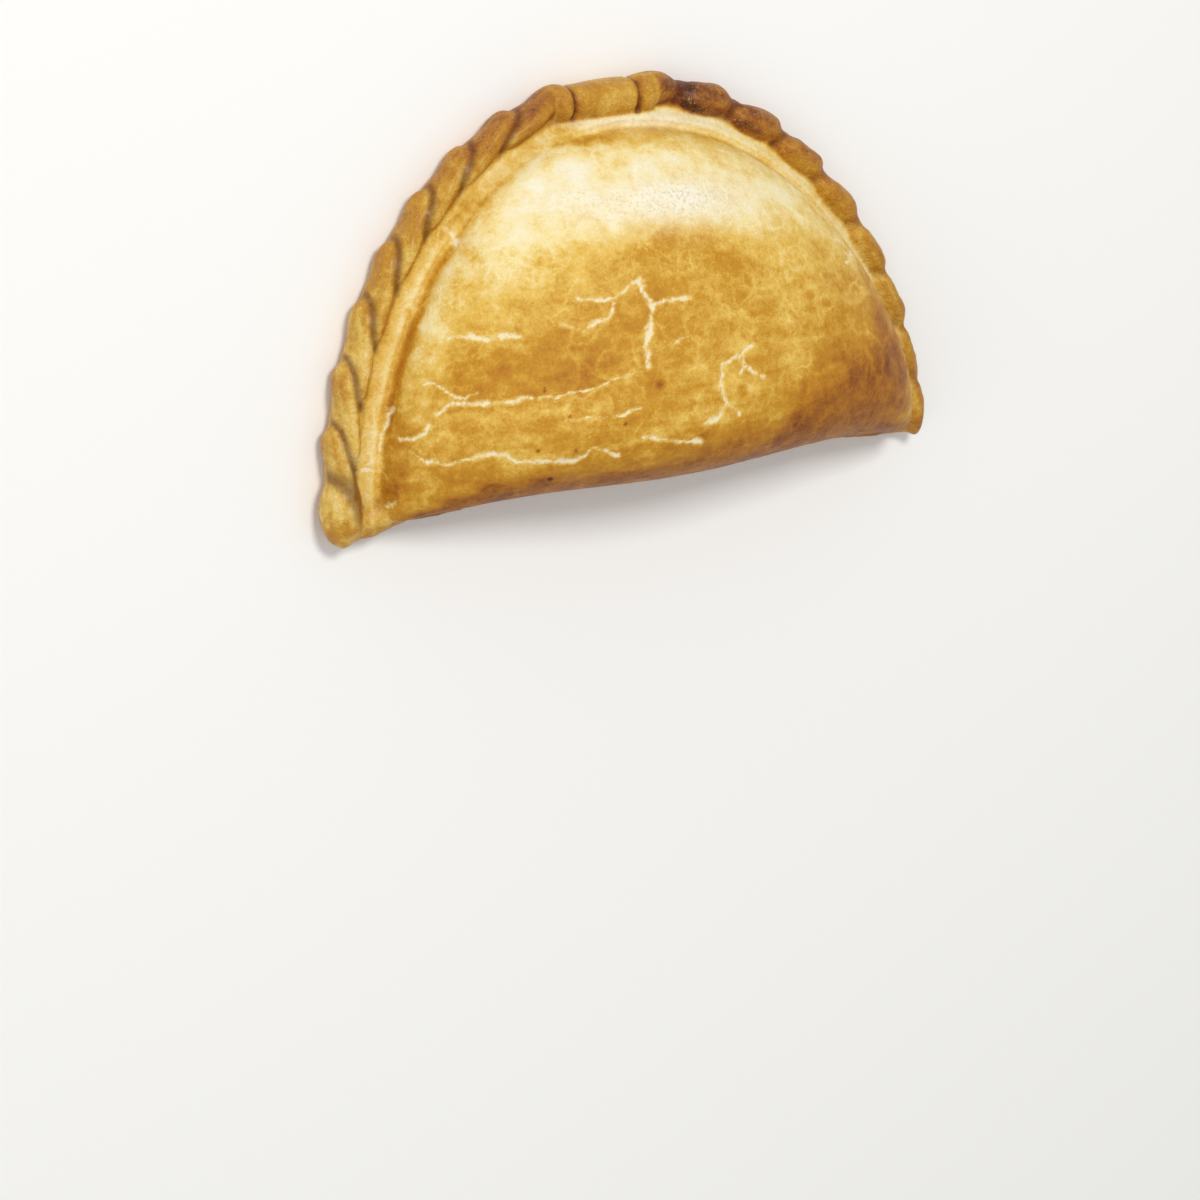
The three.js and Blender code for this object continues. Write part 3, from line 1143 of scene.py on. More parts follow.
@dataclass
class Baking:
    """What baking leaves on the crust: relief, and masks that the finish reads, with painted shade and a
    painted highlight among them.
    """

    skin: Skin
    shape: CrustShape
    rope: RopeCrimp
    tab: PressedTab
    camera: PhotoCamera
    middle: np.ndarray
    stretches: Stretches = field(default_factory=Stretches)
    tearing: Tearing = field(default_factory=Tearing)
    relief: Relief = field(default_factory=Relief)
    browning: Browning = field(default_factory=Browning)
    masks: dict[Mask, np.ndarray] = field(default_factory=dict)

    def read_places(self) -> None:
        """Works out where each point lies on the crust and in the picture."""
        stretches = self.stretches
        self.plan = self.skin.points.copy()
        dx, dy = self.plan[:, 0], self.plan[:, 1] - self.shape.middle_y
        self.angle, self.r = np.arctan2(dy, dx), np.hypot(dx, dy)
        foot = self.shape.foot_radius(self.angle)
        self.edge = np.maximum(self.shape.edge_radius(self.angle), foot)
        self.on_rim = self.shape.rim_weight(self.angle)
        self.out = self.r - foot
        self.band = np.clip(self.out / np.maximum(self.edge - foot, stretches.least_band), *stretches.band)
        self.normal = self.skin.normals()
        self.pixel = self.camera.pixels(to_frame(self.plan, self.shape.lean, self.middle))
        self.top = eased(self.normal[:, 2], *stretches.seen_top)
        self.outward = self.normal[:, 0] * np.cos(self.angle) + self.normal[:, 1] * np.sin(self.angle)

    def read_rope(self) -> None:
        """Works out which points lie on the rope, in its seams and on the tab."""
        stretches = self.stretches
        self.tab_share = self.tab.share(self.plan)
        self.rib_line = self.tab.rib_line(self.plan)
        nearest = np.full(len(self.plan), np.inf)
        second = nearest.copy()
        self.finger_tone = np.zeros(len(self.plan))
        self.on_finger = np.zeros_like(self.plan)
        for index, finger in enumerate(self.rope.fingers()):
            depth, local = finger.seen_from(self.plan)
            nearer = depth < nearest
            second = np.where(nearer, nearest, np.minimum(second, depth))
            nearest = np.where(nearer, depth, nearest)
            self.finger_tone = np.where(nearer, uneven(index, Draw.TONE), self.finger_tone)
            own_place = local + stretches.finger_step * index
            self.on_finger = np.where(nearer[:, None], own_place, self.on_finger)
        core = eased(self.band, *stretches.rope_core) * self.on_rim
        at_horn = np.minimum(*(horn.seen_from(self.plan)[0] for horn in self.rope.horns()))
        on_rope = np.maximum(eased(np.minimum(nearest, at_horn), *stretches.rope_depth), core)
        self.rope_share = self.skin.spread(on_rope, stretches.rope_rounds) * (1 - self.tab_share)
        seam = eased(second - nearest, *stretches.seam_depth) * self.rope_share
        self.seam = seam * eased(at_horn, *stretches.horn_depth)

    def read_groove(self) -> None:
        """Works out where the groove is broad, where it is a fine line and where it is smoothed over."""
        stretches = self.stretches
        x, y = self.pixel.T
        left = eased(y, *stretches.groove_top_px) * eased(x, *stretches.groove_left_px)
        self.broad_groove = left * self.on_rim
        self.deep_groove = self.broad_groove * eased(y, *stretches.groove_foot_px)
        self.fine_groove = eased(x, *stretches.groove_right_px) * self.on_rim
        self.no_groove = np.clip(self.on_rim - self.broad_groove - self.fine_groove, 0.0, 1.0)

    def split_reach(self) -> np.ndarray:
        """How near each point lies to a split.

        Returns:
            One share for each point, from 1 on a split's line to 0 a few half widths away.
        """
        tearing = self.tearing
        pixels = self.pixel + np.stack([layered(self.plan, waves) for waves in tearing.wander], axis=1)
        swell = 1 + tearing.swell.at(self.plan)
        reach = np.zeros(len(pixels))
        for split in SPLITS:
            farthest = tearing.reach * split.half_width * swell
            reach = np.maximum(reach, 1 - split.distance(pixels) / farthest)
        facing = eased(self.normal @ np.array(self.camera.basis().col[2]), *tearing.facing)
        strength = np.clip(tearing.usual + tearing.fading.at(self.plan), tearing.faintest, 1.0)
        return reach * facing * (1 - self.rope_share) * strength

    def spots(self, places: Iterable[Pixel], reach: float) -> np.ndarray:
        """Small round spots on the upper side.

        Args:
            places: Their middles in the picture.
            reach: Their radius in pixels.

        Returns:
            One share for each point, from 0 to 1.
        """
        share = np.zeros(len(self.pixel))
        for place in places:
            away = np.linalg.norm(self.pixel - np.array(place), axis=1)
            share = np.maximum(share, eased(away, reach, self.relief.spot_core * reach))
        return share * self.top

    def shape_relief(self) -> None:
        """Moves the skin: soft lumps of filling, wrinkles, pebbled skin, groove, splits and pits."""
        relief = self.relief
        on_dome = eased(self.out, *relief.dome_edge) * self.top
        lumps = layered(self.plan, relief.lumps) + layered(self.plan, relief.wrinkles)
        groove = relief.left_groove.over(self.out) * self.deep_groove
        groove += relief.right_groove.over(self.out) * self.fine_groove
        filled = relief.filled_groove.over(self.out) - relief.filled_welt.over(self.out)
        self.masks[Mask.SPLIT] = self.split_reach()
        splits = eased(self.masks[Mask.SPLIT], *relief.split_wall)
        lips = self.skin.spread(splits, relief.lip_rounds) * (1 - splits)
        pebbles = layered(self.plan, relief.pebbles)
        amount = on_dome * lumps + self.top * (pebbles + self.no_groove * filled - groove)
        amount += relief.lip_height * lips - relief.split_depth * splits
        amount -= relief.pit_depth * self.spots(PITS, relief.pit_reach)
        amount -= relief.rib_groove * self.rib_line * self.tab_share
        dough = layered(self.plan, relief.dough) + relief.strands.at(self.on_finger)
        on_rope = np.maximum(self.rope_share, relief.tab_dough * self.tab_share)
        self.skin.push(amount * (1 - relief.rope_loss * on_rope) + dough * on_rope * self.top)
        smoothed = self.no_groove * relief.smoothed.over(self.out) * (1 - on_rope)
        self.skin.smooth(relief.smoothed_rounds, smoothed)

    def dome_browning(self) -> np.ndarray:
        """Browning of the dome and of the fold below it.

        Returns:
            One value for each point.
        """
        browning = self.browning
        drift = np.stack([layered(self.plan, waves) for waves in browning.drift], axis=1)
        patches = patched(self.pixel + browning.drift_px * drift, PATCHES)
        over_fold = self.plan[:, 1] - self.shape.fold_y(self.plan[:, 0])
        by_fold = eased(over_fold, browning.fold_reach, 0.0) * (1 - self.on_rim)
        streaks = layered(self.plan, browning.streaks) * eased(over_fold, *browning.streak_reach)
        mottle = layered(self.plan, browning.mottle) * eased(-patches, *browning.mottled)
        total = browning.dome + (patches + mottle) * self.top
        total += browning.fold * by_fold + browning.streak * streaks
        return np.minimum(total, browning.darkest_dome)

    def with_band(self, dome: np.ndarray) -> np.ndarray:
        """Lays the band between the dome's foot and the rope over the dome's browning.

        Args:
            dome: Browning of the dome.

        Returns:
            One value for each point.
        """
        browning = self.browning
        broken = np.clip(browning.unbroken + browning.broken.at(self.plan), *browning.broken_limits)
        left = browning.left_band - browning.left_welt.over(self.band)
        right = browning.right_band - browning.right_welt.over(self.band)
        right += broken * browning.right_line.over(self.band)
        tone = left * self.broad_groove + right * self.fine_groove + browning.filled_band * self.no_groove
        tone += browning.band_noise.at(self.plan)
        on_band = eased(self.out, *browning.band_edge) * self.on_rim * self.top
        on_band *= 1 - browning.filled_fade * self.no_groove
        line = browning.deep_line.over(self.out) * self.deep_groove
        line += browning.broad_shade.over(self.out) * self.broad_groove
        line += browning.fine_line.over(self.out) * self.fine_groove * broken
        return between(dome, tone, on_band) + line * self.top

    def rope_browning(self) -> np.ndarray:
        """Browning of the rope, which is darkest beside the tab, with painted shade on flanks that face
        inward.

        Returns:
            One value for each point.
        """
        browning = self.browning
        to_right = eased(self.pixel[:, 0], *browning.inward_shade_px)
        # Painted shade: flanks that face inward are darker on the left side and paler on the right side.
        inner = eased(self.outward, *browning.inward_shade_facing) * between(1.0, browning.right_inward_shade, to_right)
        outer = eased(self.edge - self.r, *browning.outer_reach)
        noise = layered(self.plan, browning.rope_noise) + browning.strands.at(self.on_finger)
        tone = browning.rope + patched(self.pixel, ROPE_PATCHES) + browning.finger * self.finger_tone
        return tone + browning.inner * inner + browning.outer * outer + noise

    def brown(self) -> None:
        """Works out the masks that the finish reads, apart from the splits."""
        browning = self.browning
        bake = self.with_band(self.dome_browning())
        bake = between(bake, self.rope_browning(), self.rope_share)
        pressed = browning.tab + browning.tab_noise.at(self.plan) + browning.rib_line * self.rib_line
        bake = between(bake, pressed, self.tab_share)
        base = browning.base + browning.base_noise.at(self.plan)
        bake = between(bake, base, eased(self.normal[:, 2], *browning.base_facing))
        bake += browning.speck * self.spots(SPECKS, browning.speck_reach)
        bake += browning.pit * self.spots(PITS, browning.pit_reach)
        # Painted shade: hollows of the skin and the seams between fingers are darkened, less so on the
        # right.
        crease = eased(self.skin.hollows(browning.crease_shade_rounds), *browning.crease)
        crease += browning.seam * self.seam
        crease *= between(1.0, browning.right_crease_shade, eased(self.pixel[:, 0], *browning.crease_shade_px))
        on_rope = np.maximum(self.rope_share, self.tab_share)
        crease *= self.skin.spread(on_rope, browning.crease_shade_spread) * self.top
        # Painted highlight: the frosted patches, pale glaze with a painted highlight, stay off the rope.
        frost = np.clip(patched(self.pixel, FROST), 0.0, 1.0)
        self.masks[Mask.BAKE] = bake
        self.masks[Mask.CREASE] = np.clip(crease, 0.0, 1.0)
        self.masks[Mask.FROST] = frost * self.top * (1 - on_rope)
        self.masks[Mask.GLOSS] = on_rope

    def finish(self) -> None:
        """Shapes the relief, browns the skin and stores the masks."""
        self.read_places()
        self.read_rope()
        self.read_groove()
        self.shape_relief()
        self.brown()
        for mask, values in self.masks.items():
            self.skin.keep(mask, values)


def to_frame(points: np.ndarray, lean: float, middle: np.ndarray) -> np.ndarray:
    """Moves points from the crust's plan to the frame.

    Args:
        points: Places in millimetres.
        lean: Sideways lean for each millimetre of depth.
        middle: The leaning plan's middle, which goes to the frame's origin.

    Returns:
        The places in metres.
    """
    leaning = points.copy()
    leaning[:, 0] += lean * points[:, 1]
    leaning[:, :2] -= middle
    return leaning * MM


class Tone(Enum):
    """Display colours from pale dough to dark crust, each with its place on the browning scale."""

    FROSTED = (0.0, (0.97, 0.94, 0.83))
    CREAM = (0.2, (0.96, 0.88, 0.63))
    STRAW = (0.38, (0.90, 0.74, 0.35))
    GOLD = (0.54, (0.79, 0.575, 0.17))
    AMBER = (0.7, (0.71, 0.46, 0.13))
    BROWN = (0.85, (0.57, 0.33, 0.11))
    DARK = (1.0, (0.33, 0.16, 0.06))


def linear(colour: Colour) -> tuple[float, float, float, float]:
    """A display colour as the renderer's linear colour."""
    parts = [c / 12.92 if c <= 0.04045 else ((c + 0.055) / 1.055) ** 2.4 for c in colour]
    return parts[0], parts[1], parts[2], 1.0


@dataclass(frozen=True)
class Grain:
    """Noise in the finish: its lumps' size in millimetres, its octaves, their share and its strength."""

    size: float
    detail: float
    roughness: float = 0.5
    amount: float = 1.0


@dataclass(frozen=True)
class Veins:
    """A network of lines: the size of its cells in millimetres, half a line's width in cells, strength."""

    cell: float
    width: float
    strength: float


class NodeSheet:
    """A material's node tree, with short calls to add and join nodes."""

    def __init__(self, name: str) -> None:
        """Makes the material with an empty tree.

        Args:
            name: The material's name.
        """
        self.material = bpy.data.materials.new(name)
        self.material.use_nodes = True
        self.tree = self.material.node_tree
        self.tree.nodes.clear()

    def add(self, kind: str, **settings: object) -> bpy.types.Node:
        """Adds a node.

        Args:
            kind: The node's type.
            **settings: Its properties.

        Returns:
            The node.
        """
        node = self.tree.nodes.new(kind)
        for name, value in settings.items():
            setattr(node, name, value)
        return node

    def join(self, source: Socket, target: Socket) -> None:
        """Joins an output to an input."""
        self.tree.links.new(source, target)

    def math(
        self, operation: str, a: Socket | float, b: Socket | float = 0.0, c: Socket | float = 0.0
    ) -> Socket:
        """Adds a Math node.

        Args:
            operation: The node's operation.
            a: First value.
            b: Second value.
            c: Third value, for operations that take three.

        Returns:
            The result's socket.
        """
        node = self.add("ShaderNodeMath", operation=operation)
        for source, target in zip((a, b, c), node.inputs):
            if isinstance(source, Socket):
                self.join(source, target)
            else:
                target.default_value = source
        return node.outputs[0]

    def scaled(self, source: Socket, amount: Socket | float) -> Socket:
        """A value times an amount."""
        return self.math("MULTIPLY", source, amount)

    def eased(self, source: Socket, low: float, high: float) -> Socket:
        """Eased share of a value.

        Args:
            source: The value.
            low: Where the share is 0.
            high: Where it is 1.

        Returns:
            The share's socket.
        """
        node = self.add("ShaderNodeMapRange", interpolation_type="SMOOTHSTEP")
        self.join(source, node.inputs["Value"])
        node.inputs["From Min"].default_value = low
        node.inputs["From Max"].default_value = high
        return node.outputs["Result"]

    def mixed(self, share: Socket, under: Socket, colour: Colour) -> Socket:
        """Mixes a colour towards a display colour.

        Args:
            share: How far it is mixed.
            under: The colour below.
            colour: The display colour.

        Returns:
            The mixed colour's socket.
        """
        node = self.add("ShaderNodeMix", data_type="RGBA")
        self.join(share, node.inputs["Factor"])
        self.join(under, node.inputs["A"])
        node.inputs["B"].default_value = linear(colour)
        return node.outputs["Result"]

    def noise(self, place: Socket, grain: Grain) -> Socket:
        """Noise centred on 0.

        Args:
            place: Place on the surface, in metres.
            grain: The noise's size, octaves and their share.

        Returns:
            The noise's socket, from about -0.5 to 0.5.
        """
        node = self.add("ShaderNodeTexNoise")
        self.join(place, node.inputs["Vector"])
        node.inputs["Scale"].default_value = 1.0 / (grain.size * MM)
        node.inputs["Detail"].default_value = grain.detail
        node.inputs["Roughness"].default_value = grain.roughness
        return self.math("SUBTRACT", node.outputs["Fac"], NOISE_MIDDLE)

    def stirred(self, value: Socket, place: Socket, grains: Iterable[Grain]) -> Socket:
        """Adds layers of noise to a value.

        Args:
            value: The value.
            place: Place on the surface, in metres.
            grains: The layers.

        Returns:
            The sum's socket.
        """
        for grain in grains:
            value = self.math("MULTIPLY_ADD", self.noise(place, grain), grain.amount, value)
        return value

    def mask(self, mask: Mask) -> Socket:
        """A value that the skin stores."""
        return self.add("ShaderNodeAttribute", attribute_name=mask.value).outputs["Fac"]


@dataclass(frozen=True)
class BakedCrust:
    """Finish of the crust: mottled browning, pale splits, fine veins, painted shade in the creases and a
    thin glaze.
    """

    mottle: tuple[Grain, ...] = (
        Grain(14.0, 2.0, 0.5, 0.26),
        Grain(4.6, 5.0, 0.66, 0.42),
        Grain(1.3, 3.0, 0.6, 0.22),
        Grain(0.45, 1.0, 0.5, 0.16),
    )
    broad_veins: Veins = Veins(8.0, 0.12, 0.7)
    fine_veins: Veins = Veins(3.6, 0.12, 0.5)
    vein_paleness: float = 0.15
    vein_wander: float = 1.5
    vein_detail: float = 4.0
    vein_gap: float = 1.6
    vein_gap_detail: float = 3.0
    vein_gap_edge: Span = (-0.08, 0.14)
    frays: tuple[Grain, ...] = (Grain(0.7, 4.0, 0.65, 0.9), Grain(2.4, 2.0, 0.5, 0.5))
    split_colour: Colour = (0.97, 0.93, 0.8)
    split_edge: Span = (0.58, 0.94)
    split_strength: float = 0.8
    border_colour: Colour = (0.93, 0.8, 0.45)
    border_edge: Span = (0.25, 0.75)
    border_strength: float = 0.6
    # Near-white for the frosted patches, which carry a painted highlight.
    frost_and_highlight_colour: Colour = (0.98, 0.96, 0.89)
    frost_and_highlight_strength: float = 0.75
    dots: Grain = Grain(0.7, 4.0, 0.7, 0.4)
    dot_colour: Colour = (0.74, 0.6, 0.33)
    dot_edge: Span = (-0.02, 0.14)
    # Pale grains on the rope, partly pale specks and partly painted glints.
    grains: Grain = Grain(0.55, 3.0, 0.7, 0.28)
    grain_and_glint_colour: Colour = (0.95, 0.84, 0.64)
    grain_and_glint_edge: Span = (0.06, 0.2)
    # Dark red-brown for the painted shade in the creases.
    crease_shade_colour: Colour = (0.38, 0.15, 0.04)
    crease_shade_strength: float = 0.85
    fine_bump: Grain = Grain(0.6, 3.0, 0.6)
    speckle: Grain = Grain(1.6, 4.0, 0.7, 1.5)
    bump_strength: float = 0.8
    bump_depth: float = 0.2
    rope_bump: float = 1.6
    roughness: float = 0.5
    speckle_roughness: float = 0.4
    rope_roughness: float = -0.06
    specular: float = 0.15
    coat: float = 0.22
    coat_roughness: float = 0.3
    subsurface: float = 0.06
    subsurface_radius: Triple = (1.0, 0.5, 0.2)
    subsurface_reach: float = 1.5

    def browning(self, sheet: NodeSheet, place: Socket) -> Socket:
        """Colour of the skin from its browning, the veins and the mottling over it.

        Args:
            sheet: The material's nodes.
            place: Place on the surface.

        Returns:
            The colour's socket.
        """
        veins = self.veins(sheet, place)
        veined = sheet.math("MULTIPLY_ADD", veins, -self.vein_paleness, sheet.mask(Mask.BAKE))
        ramp = sheet.add("ShaderNodeValToRGB")
        sheet.join(sheet.stirred(veined, place, self.mottle), ramp.inputs["Fac"])
        stops = ramp.color_ramp.elements
        while len(stops) < len(Tone):
            stops.new(1.0)
        for stop, tone in zip(stops, Tone):
            stop.position, stop.color = tone.value[0], linear(tone.value[1])
        return ramp.outputs["Color"]

    def network(self, sheet: NodeSheet, place: Socket, veins: Veins) -> Socket:
        """Mask of wandering lines between cells, which fade out in places.

        Args:
            sheet: The material's nodes.
            place: Place on the surface.
            veins: The cells' size, and the lines' width and strength.

        Returns:
            The mask's socket.
        """
        drift = sheet.add("ShaderNodeTexNoise")
        sheet.join(place, drift.inputs["Vector"])
        drift.inputs["Scale"].default_value = self.vein_wander / (veins.cell * MM)
        drift.inputs["Detail"].default_value = self.vein_detail
        shift = sheet.add("ShaderNodeVectorMath", operation="MULTIPLY_ADD")
        sheet.join(drift.outputs["Color"], shift.inputs[0])
        shift.inputs[1].default_value = (veins.cell * MM,) * 3
        sheet.join(place, shift.inputs[2])
        cells = sheet.add("ShaderNodeTexVoronoi", feature="DISTANCE_TO_EDGE")
        sheet.join(shift.outputs["Vector"], cells.inputs["Vector"])
        cells.inputs["Scale"].default_value = 1.0 / (veins.cell * MM)
        line = sheet.eased(cells.outputs["Distance"], veins.width, 0.0)
        gaps = sheet.noise(place, Grain(self.vein_gap * veins.cell, self.vein_gap_detail))
        return sheet.scaled(sheet.scaled(line, sheet.eased(gaps, *self.vein_gap_edge)), veins.strength)

    def veins(self, sheet: NodeSheet, place: Socket) -> Socket:
        """Mask of the pale veins, broad and fine, which stop at the rope.

        Args:
            sheet: The material's nodes.
            place: Place on the surface.

        Returns:
            The mask's socket.
        """
        broad = self.network(sheet, place, self.broad_veins)
        fine = self.network(sheet, place, self.fine_veins)
        bare = sheet.math("SUBTRACT", 1.0, sheet.mask(Mask.GLOSS))
        return sheet.scaled(sheet.math("MAXIMUM", broad, fine), bare)

    def torn(self, sheet: NodeSheet, place: Socket, colour: Socket) -> Socket:
        """Lays the splits over a colour, with frayed sides and a straw-coloured border.

        Args:
            sheet: The material's nodes.
            place: Place on the surface.
            colour: The colour below.

        Returns:
            The colour's socket.
        """
        frayed = sheet.stirred(sheet.mask(Mask.SPLIT), place, self.frays)
        core = sheet.scaled(sheet.eased(frayed, *self.split_edge), self.split_strength)
        border = sheet.scaled(sheet.eased(frayed, *self.border_edge), self.border_strength)
        return sheet.mixed(core, sheet.mixed(border, colour, self.border_colour), self.split_colour)

    def colour(self, sheet: NodeSheet, place: Socket) -> Socket:
        """Crust colour with splits, frost and painted highlight, rope grains and painted glints, painted
        crease shade.

        Args:
            sheet: The material's nodes.
            place: Place on the surface.

        Returns:
            The colour's socket.
        """
        # Painted highlight: the frosted patches are mixed towards near-white.
        frost = sheet.mask(Mask.FROST)
        colour = self.torn(sheet, place, self.browning(sheet, place))
        colour = sheet.mixed(sheet.scaled(frost, self.frost_and_highlight_strength), colour, self.frost_and_highlight_colour)
        dots = sheet.scaled(frost, sheet.eased(sheet.noise(place, self.dots), *self.dot_edge))
        colour = sheet.mixed(sheet.scaled(dots, self.dots.amount), colour, self.dot_colour)
        # Pale grains on the rope: partly pale specks, partly painted glints.
        grains = sheet.eased(sheet.noise(place, self.grains), *self.grain_and_glint_edge)
        grains = sheet.scaled(sheet.mask(Mask.GLOSS), grains)
        colour = sheet.mixed(sheet.scaled(grains, self.grains.amount), colour, self.grain_and_glint_colour)
        # Painted shade: creases are mixed towards dark red-brown.
        crease = sheet.scaled(sheet.mask(Mask.CREASE), self.crease_shade_strength)
        return sheet.mixed(crease, colour, self.crease_shade_colour)

    def material(self) -> bpy.types.Material:
        """Makes the material.

        Returns:
            The material.
        """
        sheet = NodeSheet("baked_crust")
        place = sheet.add("ShaderNodeTexCoord").outputs["Object"]
        gloss = sheet.mask(Mask.GLOSS)
        speckle = sheet.noise(place, self.speckle)
        rough = sheet.math("MULTIPLY_ADD", speckle, self.speckle_roughness, self.roughness)
        rough = sheet.math("MULTIPLY_ADD", gloss, self.rope_roughness, rough)
        fine = sheet.noise(place, self.fine_bump)
        height = sheet.math("MULTIPLY_ADD", speckle, self.speckle.amount, fine)
        coarser = sheet.math("MULTIPLY_ADD", gloss, self.rope_bump, 1.0)
        bump = sheet.add("ShaderNodeBump")
        bump.inputs["Strength"].default_value = self.bump_strength
        bump.inputs["Distance"].default_value = self.bump_depth * MM
        sheet.join(sheet.scaled(height, coarser), bump.inputs["Height"])
        shader = sheet.add("ShaderNodeBsdfPrincipled")
        sheet.join(self.colour(sheet, place), shader.inputs["Base Color"])
        sheet.join(rough, shader.inputs["Roughness"])
        sheet.join(bump.outputs["Normal"], shader.inputs["Normal"])
        sheet.join(sheet.scaled(gloss, self.coat), shader.inputs["Coat Weight"])
        shader.inputs["Specular IOR Level"].default_value = self.specular
        shader.inputs["Coat Roughness"].default_value = self.coat_roughness
        shader.inputs["Subsurface Weight"].default_value = self.subsurface
        shader.inputs["Subsurface Radius"].default_value = self.subsurface_radius
        shader.inputs["Subsurface Scale"].default_value = self.subsurface_reach * MM
        output = sheet.add("ShaderNodeOutputMaterial")
        sheet.join(shader.outputs["BSDF"], output.inputs["Surface"])
        return sheet.material


@dataclass
class Empanada:
    """The whole pie as one skin."""

    camera: PhotoCamera
    shape: CrustShape = field(default_factory=CrustShape)
    finish: BakedCrust = field(default_factory=BakedCrust)
    voxel: float = 0.5
    base_rings: tuple[float, ...] = (0.97, 0.9, 0.75, 0.5, 0.2)
    base_facing: float = -0.98
    smooth_rounds: int = 5
    smooth_above: Span = (0.3, 1.2)

    def __post_init__(self) -> None:
        """Makes the tab and the rope for the crust."""
        self.tab = PressedTab(self.shape)
        self.rope = RopeCrimp(self.shape, self.tab.width)

    def joined(self) -> bpy.types.Mesh:
        """The crust, rope and tab as closed shapes that overlap.

        Returns:
            One mesh with all of them.
        """
        bm = bmesh.new()
        for part in (self.rope, self.tab, self.shape):
            part.add_to(bm)
        return mesh_of(bm, "empanada_shapes")

    def one_skin(self, shapes: bpy.types.Mesh) -> bpy.types.Mesh:
        """The outer skin of overlapping shapes, in small even faces.

        Args:
            shapes: The shapes, which are removed.

        Returns:
            The skin.
        """
        holder = linked("empanada_shapes", shapes)
        remesh = holder.modifiers.new("skin", "REMESH")
        remesh.mode = "VOXEL"
        remesh.voxel_size = self.voxel
        remesh.adaptivity = 0.0
        evaluated = holder.evaluated_get(bpy.context.evaluated_depsgraph_get())
        skin = bpy.data.meshes.new_from_object(evaluated)
        bpy.data.objects.remove(holder)
        bpy.data.meshes.remove(shapes)
        return skin

    def close_base(self, skin: bpy.types.Mesh) -> None:
        """Replaces the small faces of the flat base by a few rings, because nothing is fine there.

        Args:
            skin: The skin, which is changed.
        """
        bm = bmesh.new()
        bm.from_mesh(skin)
        downward = [face for face in bm.faces if face.normal.z < self.base_facing]
        flat = [face for face in downward if face.calc_center_median().z < self.voxel]
        bmesh.ops.delete(bm, geom=flat, context="FACES")
        centre = Vector((0.0, self.shape.middle_y, 0.0))
        ring = [edge for edge in bm.edges if edge.is_boundary]
        before = 1.0
        for share in self.base_rings:
            grown = bmesh.ops.extrude_edge_only(bm, edges=ring)["geom"]
            verts = [item for item in grown if isinstance(item, bmesh.types.BMVert)]
            for vert in verts:
                vert.co = centre + (vert.co - centre) * (share / before)
                vert.co.z = 0.0
            ring = [item for item in grown if isinstance(item, bmesh.types.BMEdge) and item.is_boundary]
            before = share
        bmesh.ops.pointmerge(bm, verts=verts, merge_co=centre)
        bmesh.ops.recalc_face_normals(bm, faces=bm.faces)
        bm.to_mesh(skin)
        bm.free()

    def build(self) -> bpy.types.Object:
        """Models, bakes and dresses the pie, and lets it stand for the solid.

        Returns:
            The finished piece.
        """
        mesh = self.one_skin(self.joined())
        self.close_base(mesh)
        skin = Skin(mesh)
        skin.smooth(self.smooth_rounds, eased(skin.points[:, 2], *self.smooth_above))
        lean = self.shape.lean
        leaning = skin.points[:, :2] + skin.points[:, 1:2] * np.array([lean, 0.0])
        middle = (leaning.min(axis=0) + leaning.max(axis=0)) / 2
        Baking(skin, self.shape, self.rope, self.tab, self.camera, middle).finish()
        skin.points[:, 2] = np.maximum(skin.points[:, 2], 0.0)
        skin.points = to_frame(skin.points, lean, middle)
        skin.write()
        mesh.name = "empanada_crust"
        mesh.shade_smooth()
        mesh.materials.append(self.finish.material())
        piece = linked("empanada_crust", mesh)
        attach(piece, "root")
        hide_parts("empanada")
        return piece


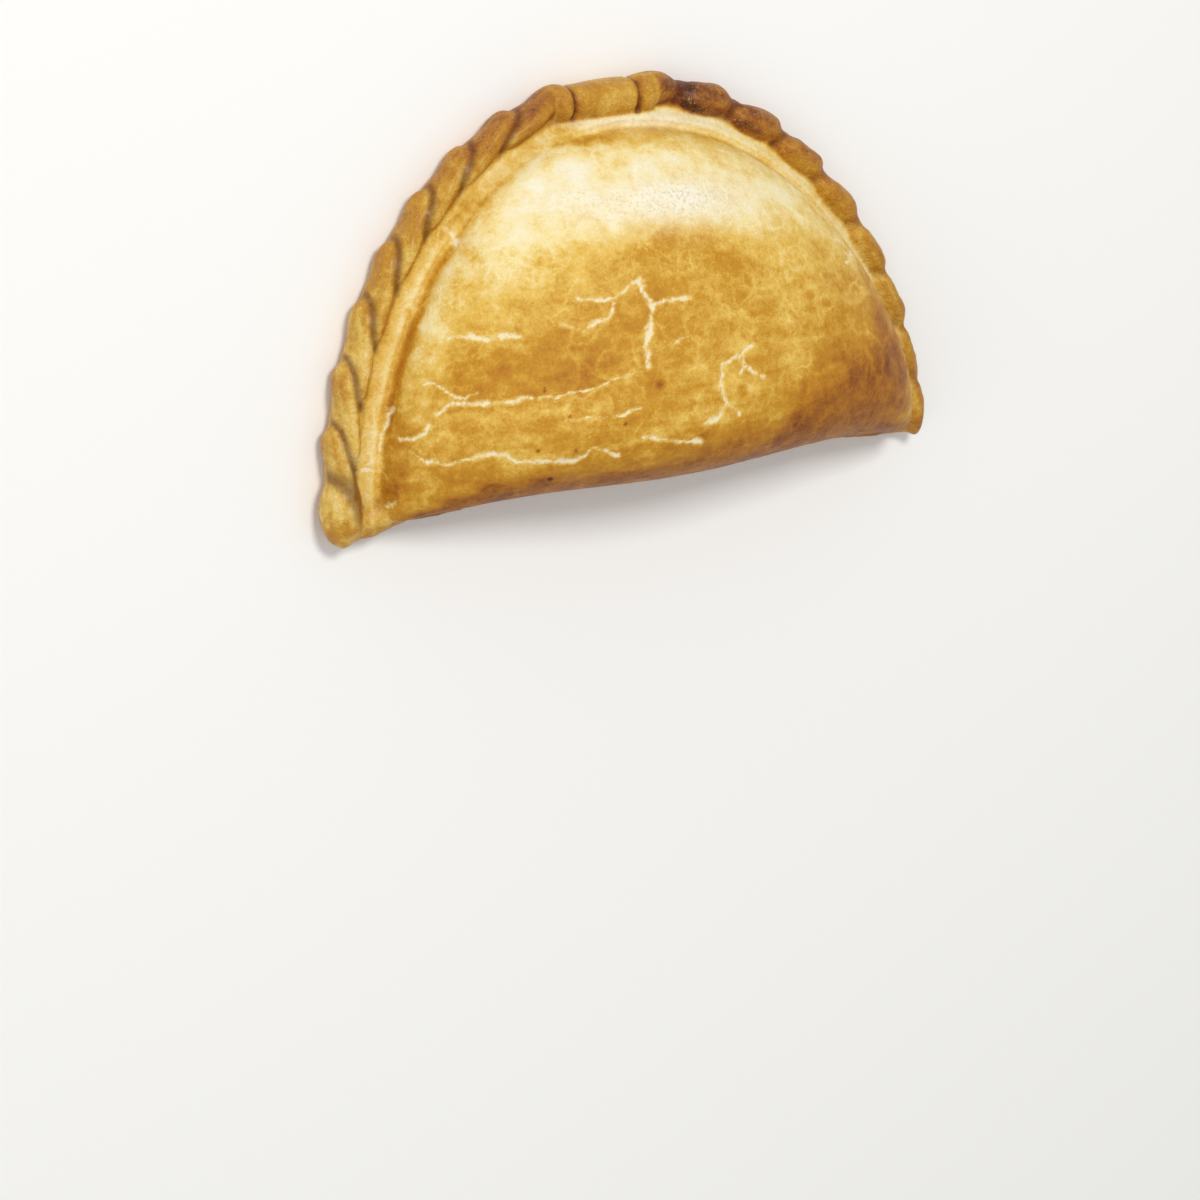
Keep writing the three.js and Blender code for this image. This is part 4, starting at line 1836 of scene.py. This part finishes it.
@dataclass(frozen=True)
class SoftLight:
    """A square soft light that faces the object."""

    name: str
    toward: Triple
    distance: float
    side: float
    watts: float
    colour: Colour = (1.0, 1.0, 1.0)

    def build(self) -> bpy.types.Object:
        """Makes the light.

        Returns:
            The light.
        """
        data = bpy.data.lights.new(self.name, "AREA")
        data.size = self.side
        data.energy = self.watts
        data.color = self.colour
        light = linked(self.name, data)
        direction = Vector(self.toward).normalized()
        turn = direction.to_track_quat("Z", "Y").to_matrix().to_4x4()
        light.matrix_world = Matrix.Translation(direction * self.distance) @ turn
        return light


@dataclass(frozen=True)
class Studio:
    """A plain pale floor and plain soft light."""

    floor_side: float = 4.0
    floor_colour: Colour = (0.985, 0.985, 0.98)
    floor_roughness: float = 0.9
    floor_specular: float = 0.1
    sky: float = 0.5
    lights: tuple[SoftLight, ...] = (
        SoftLight("key_light", (-0.1, 0.44, 0.89), 1.1, 0.25, 5.6, (1.0, 0.985, 0.95)),
        SoftLight("fill_light", (-0.8, 0.1, 0.6), 1.2, 0.9, 2.0),
    )

    def build_floor(self) -> bpy.types.Object:
        """Makes the floor under the object.

        Returns:
            The floor.
        """
        bm = bmesh.new()
        bmesh.ops.create_grid(bm, x_segments=1, y_segments=1, size=self.floor_side / 2)
        mesh = mesh_of(bm, "studio_floor")
        sheet = NodeSheet("pale_floor")
        shader = sheet.add("ShaderNodeBsdfPrincipled")
        shader.inputs["Base Color"].default_value = linear(self.floor_colour)
        shader.inputs["Roughness"].default_value = self.floor_roughness
        shader.inputs["Specular IOR Level"].default_value = self.floor_specular
        output = sheet.add("ShaderNodeOutputMaterial")
        sheet.join(shader.outputs["BSDF"], output.inputs["Surface"])
        mesh.materials.append(sheet.material)
        floor = linked("studio_floor", mesh)
        return floor

    def build(self) -> None:
        """Makes the floor, the sky's even light and the lights."""
        self.build_floor()
        world = bpy.data.worlds.new("studio_sky")
        world.use_nodes = True
        background = world.node_tree.nodes["Background"]
        background.inputs["Color"].default_value = (1.0, 1.0, 1.0, 1.0)
        background.inputs["Strength"].default_value = self.sky
        bpy.context.scene.world = world
        for light in self.lights:
            light.build()
        bpy.context.scene.view_settings.view_transform = "Standard"


def main() -> None:
    """Builds the camera, the studio and the pie around the frame."""
    logging.basicConfig(level=logging.INFO, format="%(name)s: %(message)s")
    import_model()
    camera = PhotoCamera()
    camera.build()
    Studio().build()
    piece = Empanada(camera).build()
    LOG.info("%s has %d faces", piece.name, len(piece.data.polygons))


if __name__ == "__main__":
    main()
